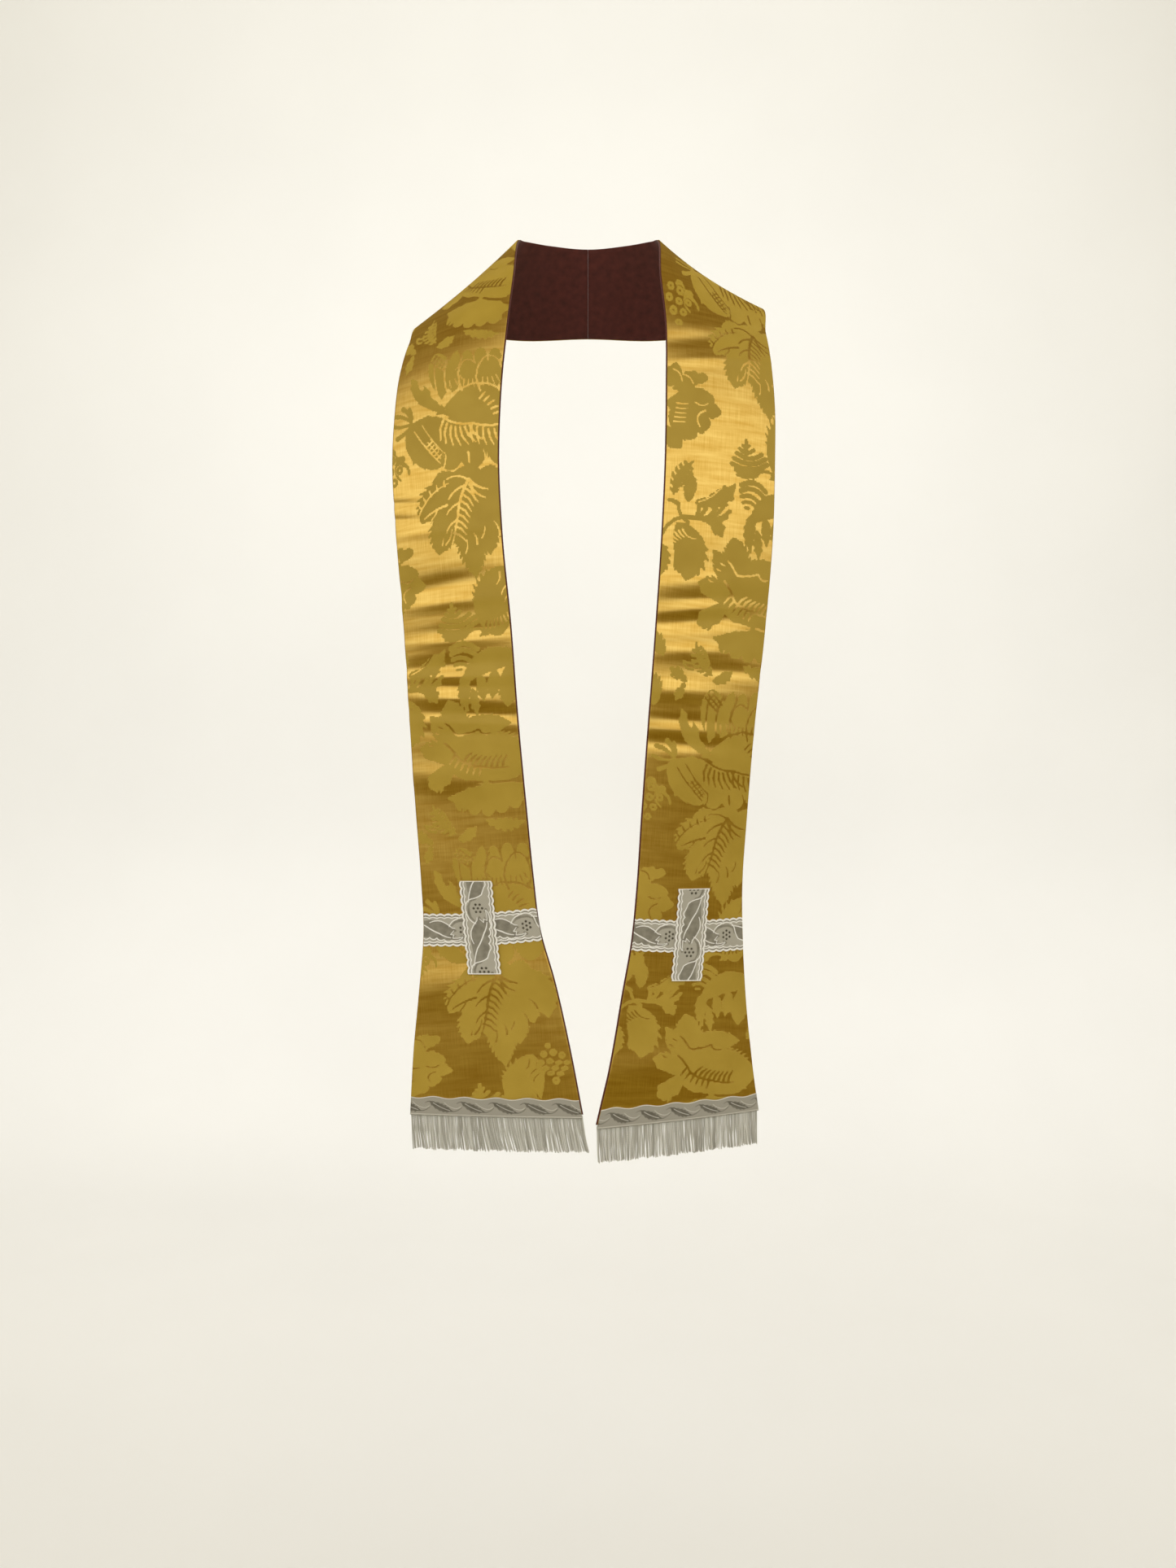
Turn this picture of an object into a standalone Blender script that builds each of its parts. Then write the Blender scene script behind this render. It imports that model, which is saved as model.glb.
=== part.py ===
"""A priest's stole in gold damask, as it hangs when worn, with nobody inside it.

Two long bands are joined behind the neck and hang down in front. Each has a damask face, a plain
lining, a cross of two lace strips, a lace braid along its end and a fringe below that.
The front is towards -Y and +Z is up. The origin is on the lining behind the neck, where the
stole rests on its wearer.
"""
import math
from collections import namedtuple

import bmesh
import bpy
import numpy as np
from mathutils import Vector

# Sizes are in millimetres, and the finished meshes are scaled to metres
METRES = 0.001

# Steps for working out a direction on the surface: in mm along it, and as a share across it
NEAR_ALONG = 1.0
NEAR_ACROSS = 0.01
CREASE_ANGLE = 40.0  # in degrees; sharper edges are shaded sharp

FACE_WALL = 1.2
LINING_WALL = 1.0
TRIM_WALL = 1.0
GAP = 0.3  # between pieces that are sewn together

LINING_SHOWS = 1.5  # how far the lining stands out past the face along the inner edge
FACE_TURNS = 1.0  # how far the face stands out past the lining along the outer edge

BAND_COLUMNS = 6

# The trims' ends, as shares of the band's width from its inner edge, where the lining shows
TRIM_STARTS = 0.010
BAR_STOPS = 0.992
BRAID_STOPS = 0.998

LACE_WIDTH = 34.5
LACE_SCALLOP = 9.0
LACE_SCALLOP_DEPTH = 0.8
CROSS_ABOVE_END = 197.0  # from the band's end up to the middle of the cross
CROSS_HEIGHT = 100.0
BAR_SAG = 2.0  # how far the level strip hangs in its middle

BRAID_WIDTH = 19.5
BRAID_BELOW_END = 3.6  # the braid covers the fringe's heading
BRAID_WAVE = 17.5
BRAID_WAVE_DEPTH = 1.0
BRAID_COLUMNS = 45

FRINGE_LENGTH = 39.0
HEADING_HEIGHT = 3.0
HEADING_WALL = 1.2
HEADING_MARGIN = 0.006  # bare ends of the heading, as a share of the band's width
STRANDS = 100
STRANDS_IN_BLOCK = 10
STRAND_SHARE = 0.62  # of the pitch from strand to strand
STRAND_TAPER = 0.2  # how much thinner a strand is at its tip

# A wave runs along the fringe: each strand's share of it is size * sin(rate * number + shift).
# The tips sway sideways, swing to the front and back, and end unevenly, in mm.
Wave = namedtuple("Wave", "size rate shift")

SWAY = [Wave(1.1, 0.41, 0), Wave(0.7, 0.11, 1)]
SWING = [Wave(1.2, 0.23, 0), Wave(0.5, 1.9, 0)]
UNEVEN = [Wave(1.2, 2.4, 0)]

# Rows of the cloth's mesh: each zone runs to its end, in mm along the band, in steps of its own.
# They are closest over the shoulder and where the front hangs in folds.
Zone = namedtuple("Zone", "end step")

ZONES = [Zone(150, 14), Zone(300, 12), Zone(540, 20), Zone(810, 8.5), Zone(1300, 27)]

# A station is a line across the band, from its inner edge at the neck side to its outer edge.
# x is measured outwards from the middle of the body, and bow is how far the cloth rounds out.
Station = namedtuple("Station", "inner_x inner_y inner_z outer_x outer_y outer_z bow")

BEHIND_NECK = [
    Station(0, -12, 15, 0, 56, -70, 0),
    Station(47, -19, 16, 90, 53, -73, 4),
    Station(76, -36, 13, 163, 16, -78, 4),
]
LEFT_FRONT = [
    Station(82, -60, 2, 197, -50, -97, -1),
    Station(84, -118, -66, 206, -105, -141, 2),
    Station(89, -152, -136, 212, -138, -194, 6),
    Station(94, -172, -206, 214, -156, -244, 7),
    Station(96, -187, -291, 214, -168, -302, 7),
    Station(92, -195, -372, 209, -174, -373, 7),
    Station(82, -198, -476, 200, -178, -476, 6),
    Station(74, -197, -582, 193, -181, -582, 5),
    Station(65, -195, -678, 186, -184, -678, 4),
    Station(58, -195, -748, 180, -188, -749, 4),
    Station(51, -197, -801, 177, -190, -802, 4),
    Station(35, -200, -857, 180, -194, -858, 4),
    Station(19, -205, -926, 186, -200, -927, 4),
    Station(5, -210, -997, 189, -206, -994, 3),
]
RIGHT_FRONT = [
    Station(83, -60, 2, 202, -50, -77, -4),
    Station(82, -118, -66, 205, -102, -127, 2),
    Station(86, -152, -136, 206, -134, -175, 6),
    Station(85, -172, -206, 207, -152, -227, 7),
    Station(83, -186, -291, 205, -165, -292, 7),
    Station(79, -194, -372, 202, -172, -368, 7),
    Station(72, -197, -477, 193, -175, -474, 6),
    Station(64, -197, -582, 181, -177, -582, 5),
    Station(57, -196, -678, 174, -167, -679, 5),
    Station(51, -197, -766, 169, -163, -767, 5),
    Station(46, -199, -814, 170, -161, -818, 5),
    Station(36, -202, -870, 173, -160, -876, 5),
    Station(24, -206, -938, 179, -160, -942, 5),
    Station(8, -210, -1008, 187, -160, -1003, 4),
]

# A fold is a soft ridge, or with a negative height a trough, that runs across the band.
# drop is its depth below the neck and across its middle, from 0 at the inner edge to 1.
# reach is its half length as a share of the width, thickness its half height up the band,
# and slope how far it climbs towards the outer edge over one whole width.
Fold = namedtuple("Fold", "drop across reach thickness slope height")

LEFT_FOLDS = [
    Fold(432, 0.60, 0.55, 14, -18, -2.6),
    Fold(452, 0.50, 0.50, 11, -10, 1.8),
    Fold(520, 0.45, 0.60, 13, -8, -3.2),
    Fold(545, 0.55, 0.45, 11, 6, 2.2),
    Fold(572, 0.40, 0.50, 12, 4, -2.6),
    Fold(640, 0.70, 0.40, 16, 10, 2.0),
    Fold(870, 0.65, 0.50, 24, -20, 3.0),
]
RIGHT_FOLDS = [
    Fold(150, 0.30, 0.35, 13, 12, -2.4),
    Fold(428, 0.30, 0.45, 13, 8, 2.0),
    Fold(462, 0.35, 0.45, 12, 10, -3.0),
    Fold(545, 0.25, 0.40, 14, -6, 2.6),
    Fold(592, 0.30, 0.50, 15, -8, -2.8),
    Fold(905, 0.35, 0.55, 24, 18, 3.0),
]

# upright_across is where the middle of the cross's upright lies over the band's width,
# upright_leans how far its foot stands in towards the inner edge, and bar_climbs how far the
# level strip rises from the outer to the inner edge.
Side = namedtuple("Side", "name sign stations folds upright_across upright_leans bar_climbs")

SIDES = [
    Side("left", -1, BEHIND_NECK + LEFT_FRONT, LEFT_FOLDS, 0.51, 0.0, 6.0),
    Side("right", 1, BEHIND_NECK + RIGHT_FRONT, RIGHT_FOLDS, 0.50, 4.0, 0.0),
]


def clear_scene():
    for thing in list(bpy.data.objects):
        bpy.data.objects.remove(thing, do_unlink=True)


def material(name, colour, roughness, metallic=0.0):
    made = bpy.data.materials.new(name)
    made.use_nodes = True
    shader = made.node_tree.nodes["Principled BSDF"]
    shader.inputs["Base Color"].default_value = (*colour, 1.0)
    shader.inputs["Roughness"].default_value = roughness
    shader.inputs["Metallic"].default_value = metallic
    made.diffuse_color = (*colour, 1.0)
    return made


class Band:
    """One half of the stole as a surface: the body side of its lining.

    along is the distance in mm from the seam behind the neck, measured down the middle of the
    band, and across runs from 0 at the inner edge to 1 at the outer edge.
    """

    def __init__(self, side):
        self.sign = side.sign
        self.folds = side.folds
        table = np.array(side.stations, float)
        table[0, [0, 3]] = GAP / 2
        turn = np.array([side.sign, 1, 1, side.sign, 1, 1, 1])
        table = table * turn
        middle = (table[:, 0:3] + table[:, 3:6]) / 2
        steps = np.linalg.norm(np.diff(middle, axis=0), axis=1)
        self.places = np.concatenate(([0.0], np.cumsum(steps)))
        self.length = self.places[-1]
        self.table = table
        self.slopes = self.tangents()

    def tangents(self):
        """The slope of each column at each station; at the seam the two halves are mirrored."""
        mirrored = self.table[1] * np.array([-1, 1, 1, -1, 1, 1, 1])
        places = np.concatenate(([-self.places[1]], self.places))
        rows = np.vstack((mirrored, self.table))
        gaps = np.diff(places)[:, None]
        rates = np.diff(rows, axis=0) / gaps
        inner = (rates[:-1] * gaps[1:] + rates[1:] * gaps[:-1]) / (gaps[1:] + gaps[:-1])
        return np.vstack((inner, rates[-1]))

    def edges(self, along):
        """The table's columns at any distance along, by a cubic between its stations."""
        inside = np.clip(along, 0, self.length)
        index = np.clip(np.searchsorted(self.places, inside, side="right") - 1, 0, len(self.places) - 2)
        span = (self.places[index + 1] - self.places[index])[..., None]
        share = ((inside - self.places[index])[..., None]) / span
        square, cube = share**2, share**3
        row = (
            (2 * cube - 3 * square + 1) * self.table[index]
            + (cube - 2 * square + share) * span * self.slopes[index]
            + (3 * square - 2 * cube) * self.table[index + 1]
            + (cube - square) * span * self.slopes[index + 1]
        )
        beyond = (along - inside)[..., None]
        return row + beyond * np.where(beyond < 0, self.slopes[0], self.slopes[-1])

    def smooth(self, along, across):
        """The surface without its folds."""
        row = self.edges(along)
        inner, outer, bow = row[..., 0:3], row[..., 3:6], row[..., 6:7]
        nearby = self.edges(along + NEAR_ALONG)
        down = (nearby[..., 0:3] + nearby[..., 3:6]) - (inner + outer)
        out = self.sign * np.cross(down, outer - inner)
        out /= np.linalg.norm(out, axis=-1, keepdims=True)
        part = across[..., None]
        return inner * (1 - part) + outer * part + out * bow * 4 * part * (1 - part)

    def normal(self, along, across):
        down = self.smooth(along + NEAR_ALONG, across) - self.smooth(along - NEAR_ALONG, across)
        over = self.smooth(along, across + NEAR_ACROSS) - self.smooth(along, across - NEAR_ACROSS)
        out = self.sign * np.cross(down, over)
        return out / np.linalg.norm(out, axis=-1, keepdims=True)

    def fold_height(self, point, across):
        height = np.zeros(across.shape)
        for fold in self.folds:
            level = -point[..., 2] - fold.drop + fold.slope * (across - fold.across)
            bell = np.exp(-((level / fold.thickness) ** 2) - ((across - fold.across) / fold.reach) ** 2)
            height += fold.height * bell
        return height

    def point(self, along, across, lift=0.0):
        """A point lifted off the surface, with the folds pushed in."""
        along, across = np.broadcast_arrays(np.asarray(along, float), np.asarray(across, float))
        base = self.smooth(along, across)
        height = self.fold_height(base, across) + lift
        return base + self.normal(along, across) * height[..., None]

    def width(self, along):
        row = self.edges(np.asarray(along, float))
        return np.linalg.norm(row[..., 3:6] - row[..., 0:3], axis=-1)


def add_object(name, mesh_data, look):
    """Closes a bmesh's normals, scales it to metres and puts it in the scene."""
    bmesh.ops.recalc_face_normals(mesh_data, faces=mesh_data.faces)
    bmesh.ops.scale(mesh_data, vec=(METRES,) * 3, verts=mesh_data.verts)
    mesh = bpy.data.meshes.new(name)
    mesh_data.to_mesh(mesh)
    mesh_data.free()
    mesh.materials.append(look)
    mesh.shade_smooth()
    mesh.set_sharp_from_angle(angle=math.radians(CREASE_ANGLE))
    made = bpy.data.objects.new(name, mesh)
    bpy.context.scene.collection.objects.link(made)
    return made


def wall(name, band, along, across, low, wall_thickness, look):
    """A sheet of cloth over a grid of places on the band, from one lift to another."""
    data = bmesh.new()
    layers = []
    for lift in (low, low + wall_thickness):
        points = band.point(along, across, lift)
        layers.append([[data.verts.new(place) for place in row] for row in points])
    inner, outer = layers
    rows, columns = along.shape
    for i in range(rows - 1):
        for j in range(columns - 1):
            for layer in layers:
                data.faces.new((layer[i][j], layer[i][j + 1], layer[i + 1][j + 1], layer[i + 1][j]))
    rim = [(i, 0) for i in range(rows)] + [(rows - 1, j) for j in range(1, columns)]
    rim += [(i, columns - 1) for i in range(rows - 2, -1, -1)] + [(0, j) for j in range(columns - 2, 0, -1)]
    for (i, j), (k, m) in zip(rim, rim[1:] + rim[:1]):
        data.faces.new((inner[i][j], inner[k][m], outer[k][m], outer[i][j]))
    return add_object(name, data, look)


def band_rows(band):
    """The places of the rows along the band, spaced by zone."""
    places = [0.0]
    for zone in ZONES:
        stop = min(zone.end, band.length)
        count = max(1, round((stop - places[-1]) / zone.step))
        places += list(np.linspace(places[-1], stop, count + 1)[1:])
    return np.array(places)


def face_places(band):
    along, share = np.meshgrid(band_rows(band), np.linspace(0, 1, BAND_COLUMNS + 1), indexing="ij")
    shows = LINING_SHOWS / band.width(along)
    return along, shows + share * (1 - shows)


def lining_places(band):
    along, share = np.meshgrid(band_rows(band), np.linspace(0, 1, BAND_COLUMNS + 1), indexing="ij")
    turns = FACE_TURNS / band.width(along)
    return along, share * (1 - turns)


def scallop(distance):
    """How far a scalloped edge stands in at a distance along it."""
    return LACE_SCALLOP_DEPTH * abs(math.cos(math.pi * distance / LACE_SCALLOP))


def bar_places(side, band):
    """The level strip of the cross, from edge to edge of the band."""
    middle = band.length - CROSS_ABOVE_END
    width = float(band.width(middle))
    columns = 2 * round(width / LACE_SCALLOP) + 1
    share = np.linspace(0, 1, columns)
    half = np.array([LACE_WIDTH / 2 - scallop(part * width) for part in share])
    hang = BAR_SAG * np.sin(math.pi * share) + side.bar_climbs * (share - 0.5)
    along = np.vstack((middle + hang - half, middle + hang + half))
    return along, np.broadcast_to(TRIM_STARTS + (BAR_STOPS - TRIM_STARTS) * share, along.shape)


def upright_places(side, band):
    """The upright strip of the cross, laid over the level one."""
    middle = band.length - CROSS_ABOVE_END
    rows = 2 * round(CROSS_HEIGHT / LACE_SCALLOP) + 1
    down = np.linspace(-CROSS_HEIGHT / 2, CROSS_HEIGHT / 2, rows)
    half = np.array([LACE_WIDTH / 2 - scallop(place) for place in down])
    along = np.repeat((middle + down)[:, None], 3, axis=1)
    lean = side.upright_leans * down / CROSS_HEIGHT
    shift = half[:, None] * np.array([-1, 0, 1]) - lean[:, None]
    return along, side.upright_across + shift / band.width(along)


def braid_places(band):
    """The lace braid along the end, with a waved upper edge."""
    share = np.linspace(0, 1, BRAID_COLUMNS)
    low = band.length + BRAID_BELOW_END
    width = float(band.width(band.length))
    wave = BRAID_WAVE_DEPTH * np.cos(2 * math.pi * share * width / BRAID_WAVE)
    along = np.vstack((low - BRAID_WIDTH - wave, np.full(BRAID_COLUMNS, low)))
    return along, np.broadcast_to(TRIM_STARTS + (BRAID_STOPS - TRIM_STARTS) * share, along.shape)


def fringe(side, band, look):
    """A heading under the band's end, with the strands drawn down out of its lower face."""
    data = bmesh.new()
    middle = LINING_WALL + GAP / 2
    lifts = (middle + HEADING_WALL / 2, middle - HEADING_WALL / 2)
    top = band.length + GAP
    bottom = top + HEADING_HEIGHT
    pitch = (1 - 2 * HEADING_MARGIN) / STRANDS
    starts = [HEADING_MARGIN + pitch * k for k in range(STRANDS)]
    stops = [0.0] + [stop for start in starts for stop in (start, start + pitch * STRAND_SHARE)] + [1.0]

    def ring(along, across):
        return [data.verts.new(band.point(along, across, lift)) for lift in lifts]

    low = [ring(bottom, stop) for stop in stops]
    joints = [0] + list(range(1 + 2 * STRANDS_IN_BLOCK, len(stops) - 1, 2 * STRANDS_IN_BLOCK))
    joints.append(len(stops) - 1)
    high = {k: ring(top, stops[k]) for k in joints}
    for start, end in zip(joints, joints[1:]):
        data.faces.new((high[start][0], high[start][1], high[end][1], high[end][0]))
        for layer in (0, 1):
            below = [low[k][layer] for k in range(end, start - 1, -1)]
            data.faces.new([high[start][layer], high[end][layer]] + below)
    for k in (0, len(stops) - 1):
        data.faces.new((high[k][0], high[k][1], low[k][1], low[k][0]))
    for k in range(0, len(stops) - 1, 2):
        data.faces.new((low[k][0], low[k + 1][0], low[k + 1][1], low[k][1]))
    for k in range(STRANDS):
        strand(data, low[2 * k + 1] + low[2 * k + 2][::-1], k)
    return add_object("fringe_" + side.name, data, look)


def wave_at(waves, number):
    return sum(wave.size * math.sin(wave.rate * number + wave.shift) for wave in waves)


def strand(data, root, number):
    """One strand, which hangs straight down from its root ring with a slight bend, to a tip."""
    sway, swing = wave_at(SWAY, number), wave_at(SWING, number)
    length = FRINGE_LENGTH - HEADING_HEIGHT + wave_at(UNEVEN, number)
    middle = sum((vert.co for vert in root), Vector()) / len(root)
    above = root
    for part in (0.5, 1.0):
        place = middle + Vector((sway * part, swing * part, -length * part))
        ring = [data.verts.new(place + (vert.co - middle) * (1 - STRAND_TAPER * part)) for vert in root]
        for k in range(4):
            data.faces.new((above[k], above[(k + 1) % 4], ring[(k + 1) % 4], ring[k]))
        above = ring
    data.faces.new(above)


def main():
    clear_scene()
    damask = material("gold_damask", (0.60, 0.40, 0.08), 0.42, 0.35)
    plain = material("maroon_lining", (0.17, 0.045, 0.05), 0.60)
    lace = material("ivory_lace", (0.66, 0.63, 0.52), 0.70)
    silver = material("silver_thread", (0.62, 0.60, 0.52), 0.45, 0.3)
    on_lining = LINING_WALL + GAP
    on_face = on_lining + FACE_WALL + GAP
    on_bar = on_face + TRIM_WALL + GAP
    for side in SIDES:
        band = Band(side)
        wall("face_" + side.name, band, *face_places(band), on_lining, FACE_WALL, damask)
        wall("lining_" + side.name, band, *lining_places(band), 0.0, LINING_WALL, plain)
        wall("cross_bar_" + side.name, band, *bar_places(side, band), on_face, TRIM_WALL, lace)
        wall("cross_upright_" + side.name, band, *upright_places(side, band), on_bar, TRIM_WALL, lace)
        wall("braid_" + side.name, band, *braid_places(band), on_face, TRIM_WALL, lace)
        fringe(side, band, silver)


main()
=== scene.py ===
import math
from collections import namedtuple

import bmesh
import bpy
import numpy as np
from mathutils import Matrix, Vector


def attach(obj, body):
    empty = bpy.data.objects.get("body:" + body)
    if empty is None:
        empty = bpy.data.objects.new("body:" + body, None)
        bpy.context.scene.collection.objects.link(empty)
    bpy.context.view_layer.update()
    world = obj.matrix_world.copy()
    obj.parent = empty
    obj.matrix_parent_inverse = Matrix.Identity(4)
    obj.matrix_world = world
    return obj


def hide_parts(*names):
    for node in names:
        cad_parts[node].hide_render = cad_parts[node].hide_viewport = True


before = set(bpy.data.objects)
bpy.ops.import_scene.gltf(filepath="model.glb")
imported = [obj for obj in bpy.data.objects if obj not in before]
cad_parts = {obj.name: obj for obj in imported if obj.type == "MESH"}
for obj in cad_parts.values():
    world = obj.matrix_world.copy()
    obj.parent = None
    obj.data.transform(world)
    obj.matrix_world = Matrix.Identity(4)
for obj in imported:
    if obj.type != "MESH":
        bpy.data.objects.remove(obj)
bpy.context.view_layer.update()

# The lining
# Dark red cotton sateen in two long halves, joined behind the neck and slip-stitched to the face.
# It stands out past the face as a thin dark line. Sizes are in mm, finished meshes in metres.
METRES = 0.001
NEAR_ALONG = 1.0
NEAR_ACROSS = 0.01
HALF_GAP_AT_SEAM = 0.02

# A station is a line across the band, from its inner edge at the neck side to its outer edge.
# x is measured outwards from the middle of the body, and bow is how far the cloth rounds out.
Station = namedtuple("Station", "inner_x inner_y inner_z outer_x outer_y outer_z bow")

BEHIND_NECK = [Station(*row) for row in (
    (0, -12, 15, 0, 56, -70, 0),
    (47, -19, 16, 90, 53, -73, 4),
    (76, -36, 13, 163, 16, -78, 4),
)]
LEFT_FRONT = [Station(*row) for row in (
    (82, -60, 2, 197, -50, -97, -1),
    (84, -118, -66, 206, -105, -141, 2),
    (89, -152, -136, 212, -138, -194, 6),
    (94, -172, -206, 214, -156, -244, 7),
    (96, -187, -291, 214, -168, -302, 7),
    (92, -195, -372, 209, -174, -373, 7),
    (82, -198, -476, 200, -178, -476, 6),
    (74, -197, -582, 193, -181, -582, 5),
    (65, -195, -678, 186, -184, -678, 4),
    (58, -195, -748, 180, -188, -749, 4),
    (51, -197, -801, 177, -190, -802, 4),
    (35, -200, -857, 180, -194, -858, 4),
    (19, -205, -926, 186, -200, -927, 4),
    (5, -210, -997, 189, -206, -994, 3),
)]
RIGHT_FRONT = [Station(*row) for row in (
    (83, -60, 2, 202, -50, -77, -4),
    (82, -118, -66, 205, -102, -127, 2),
    (86, -152, -136, 206, -134, -175, 6),
    (85, -172, -206, 207, -152, -227, 7),
    (83, -186, -291, 205, -165, -292, 7),
    (79, -194, -372, 202, -172, -368, 7),
    (72, -197, -477, 193, -175, -474, 6),
    (64, -197, -582, 181, -177, -582, 5),
    (57, -196, -678, 174, -167, -679, 5),
    (51, -197, -766, 169, -163, -767, 5),
    (46, -199, -814, 170, -161, -818, 5),
    (36, -202, -870, 173, -160, -876, 5),
    (24, -206, -938, 179, -160, -942, 5),
    (8, -210, -1008, 187, -160, -1003, 4),
)]

# A fold is a soft ridge, or with a negative height a trough, that runs across the band.
# drop is its depth below the neck and across its middle, from 0 at the inner edge to 1.
# reach is its half length as a share of the width, thickness its half height up the band,
# and slope how far it climbs towards the outer edge over one whole width.
Fold = namedtuple("Fold", "drop across reach thickness slope height")

LEFT_FOLDS = [Fold(*row) for row in (
    (340, 0.95, 0.28, 4, 10, -0.8),
    (358, 0.95, 0.24, 4, 8, -0.7),
    (373, 0.5, 0.5, 6, -6, 0.8),
    (432, 0.6, 0.55, 11, -18, -1.9),
    (450, 0.5, 0.5, 8, -10, 1.3),
    (480, 0.4, 0.45, 6, -6, -0.9),
    (493, 0.5, 0.4, 5, -6, 0.7),
    (517, 0.45, 0.6, 9, -8, -2.3),
    (530, 0.5, 0.5, 5, 0, 0.9),
    (541, 0.5, 0.4, 5, 4, -0.9),
    (555, 0.55, 0.4, 6, 6, 1.1),
    (570, 0.4, 0.5, 7, 4, -1.7),
    (580, 0.5, 0.4, 4, 4, 0.6),
    (592, 0.45, 0.4, 5, 4, -0.7),
    (640, 0.7, 0.4, 14, 10, 1.4),
    (860, 0.65, 0.5, 24, -20, 2.2),
)]
RIGHT_FOLDS = [Fold(*row) for row in (
    (152, 0.3, 0.4, 11, 12, -1.9),
    (178, 0.4, 0.45, 7, 10, 0.9),
    (430, 0.3, 0.45, 11, 8, 1.5),
    (446, 0.4, 0.35, 5, 8, -0.6),
    (459, 0.4, 0.4, 5, 8, 0.6),
    (471, 0.35, 0.45, 9, 10, -2.1),
    (504, 0.35, 0.4, 8, 2, 1.2),
    (524, 0.7, 0.35, 7, -4, -1.1),
    (547, 0.25, 0.4, 11, -6, 2),
    (577, 0.35, 0.4, 6, -6, -1),
    (590, 0.35, 0.4, 5, -6, 0.6),
    (602, 0.3, 0.45, 8, -8, -1.8),
    (950, 0.35, 0.55, 20, 18, 2),
)]


class Band:
    """One half of the stole as a surface: the body side of its lining.

    along is the distance in mm from the seam behind the neck, measured down the middle of the
    band, and across runs from 0 at the inner edge to 1 at the outer edge.
    """

    def __init__(self, name, sign, stations, folds):
        self.name = name
        self.sign = sign
        self.folds = folds
        table = np.array(stations, float)
        table[0, [0, 3]] = HALF_GAP_AT_SEAM
        self.table = table * np.array([sign, 1, 1, sign, 1, 1, 1])
        middle = (self.table[:, 0:3] + self.table[:, 3:6]) / 2
        steps = np.linalg.norm(np.diff(middle, axis=0), axis=1)
        self.places = np.concatenate(([0.0], np.cumsum(steps)))
        self.length = self.places[-1]
        self.slopes = self.tangents()

    def tangents(self):
        """The slope of each column at each station; at the seam the two halves are mirrored."""
        mirrored = self.table[1] * np.array([-1, 1, 1, -1, 1, 1, 1])
        places = np.concatenate(([-self.places[1]], self.places))
        rows = np.vstack((mirrored, self.table))
        gaps = np.diff(places)[:, None]
        rates = np.diff(rows, axis=0) / gaps
        inner = (rates[:-1] * gaps[1:] + rates[1:] * gaps[:-1]) / (gaps[1:] + gaps[:-1])
        return np.vstack((inner, rates[-1]))

    def edges(self, along):
        """The table's columns at any distance along, by a cubic between its stations."""
        inside = np.clip(along, 0, self.length)
        index = np.clip(np.searchsorted(self.places, inside, side="right") - 1, 0, len(self.places) - 2)
        span = (self.places[index + 1] - self.places[index])[..., None]
        share = ((inside - self.places[index])[..., None]) / span
        square, cube = share**2, share**3
        row = (
            (2 * cube - 3 * square + 1) * self.table[index]
            + (cube - 2 * square + share) * span * self.slopes[index]
            + (3 * square - 2 * cube) * self.table[index + 1]
            + (cube - square) * span * self.slopes[index + 1]
        )
        beyond = (along - inside)[..., None]
        return row + beyond * np.where(beyond < 0, self.slopes[0], self.slopes[-1])

    def smooth(self, along, across):
        """The surface without its folds."""
        row = self.edges(along)
        inner, outer, bow = row[..., 0:3], row[..., 3:6], row[..., 6:7]
        nearby = self.edges(along + NEAR_ALONG)
        down = (nearby[..., 0:3] + nearby[..., 3:6]) - (inner + outer)
        out = self.sign * np.cross(down, outer - inner)
        out /= np.linalg.norm(out, axis=-1, keepdims=True)
        part = across[..., None]
        return inner * (1 - part) + outer * part + out * bow * 4 * part * (1 - part)

    def normal(self, along, across):
        down = self.smooth(along + NEAR_ALONG, across) - self.smooth(along - NEAR_ALONG, across)
        over = self.smooth(along, across + NEAR_ACROSS) - self.smooth(along, across - NEAR_ACROSS)
        out = self.sign * np.cross(down, over)
        return out / np.linalg.norm(out, axis=-1, keepdims=True)

    def fold_height(self, point, across):
        height = np.zeros(across.shape)
        for fold in self.folds:
            level = -point[..., 2] - fold.drop + fold.slope * (across - fold.across)
            bell = np.exp(-((level / fold.thickness) ** 2) - ((across - fold.across) / fold.reach) ** 2)
            height += fold.height * bell
        return height

    def point(self, along, across, lift=0.0):
        """A point lifted off the surface, with the folds pushed in."""
        along, across = np.broadcast_arrays(np.asarray(along, float), np.asarray(across, float))
        base = self.smooth(along, across)
        height = self.fold_height(base, across) + lift
        return base + self.normal(along, across) * height[..., None]

    def width(self, along):
        row = self.edges(np.asarray(along, float))
        return np.linalg.norm(row[..., 3:6] - row[..., 0:3], axis=-1)


BANDS = [
    Band("left", -1, BEHIND_NECK + LEFT_FRONT, LEFT_FOLDS),
    Band("right", 1, BEHIND_NECK + RIGHT_FRONT, RIGHT_FOLDS),
]

# The same strip laid flat, as it was cut: both edges in steps, joined triangle by triangle
FLAT_STEP = 5.0
LEVEL_FROM = 560.0
LEVEL_TO = 900.0
FlatCut = namedtuple("FlatCut", "along inner outer size area")


def third_corner(a, b, from_a, from_b):
    base = b - a
    span = math.hypot(*base)
    shift = (from_a**2 - from_b**2 + span**2) / (2 * span)
    height = math.sqrt(max(from_a**2 - shift**2, 0))
    unit = base / span
    return a + unit * shift + np.array([-unit[1], unit[0]]) * height


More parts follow.
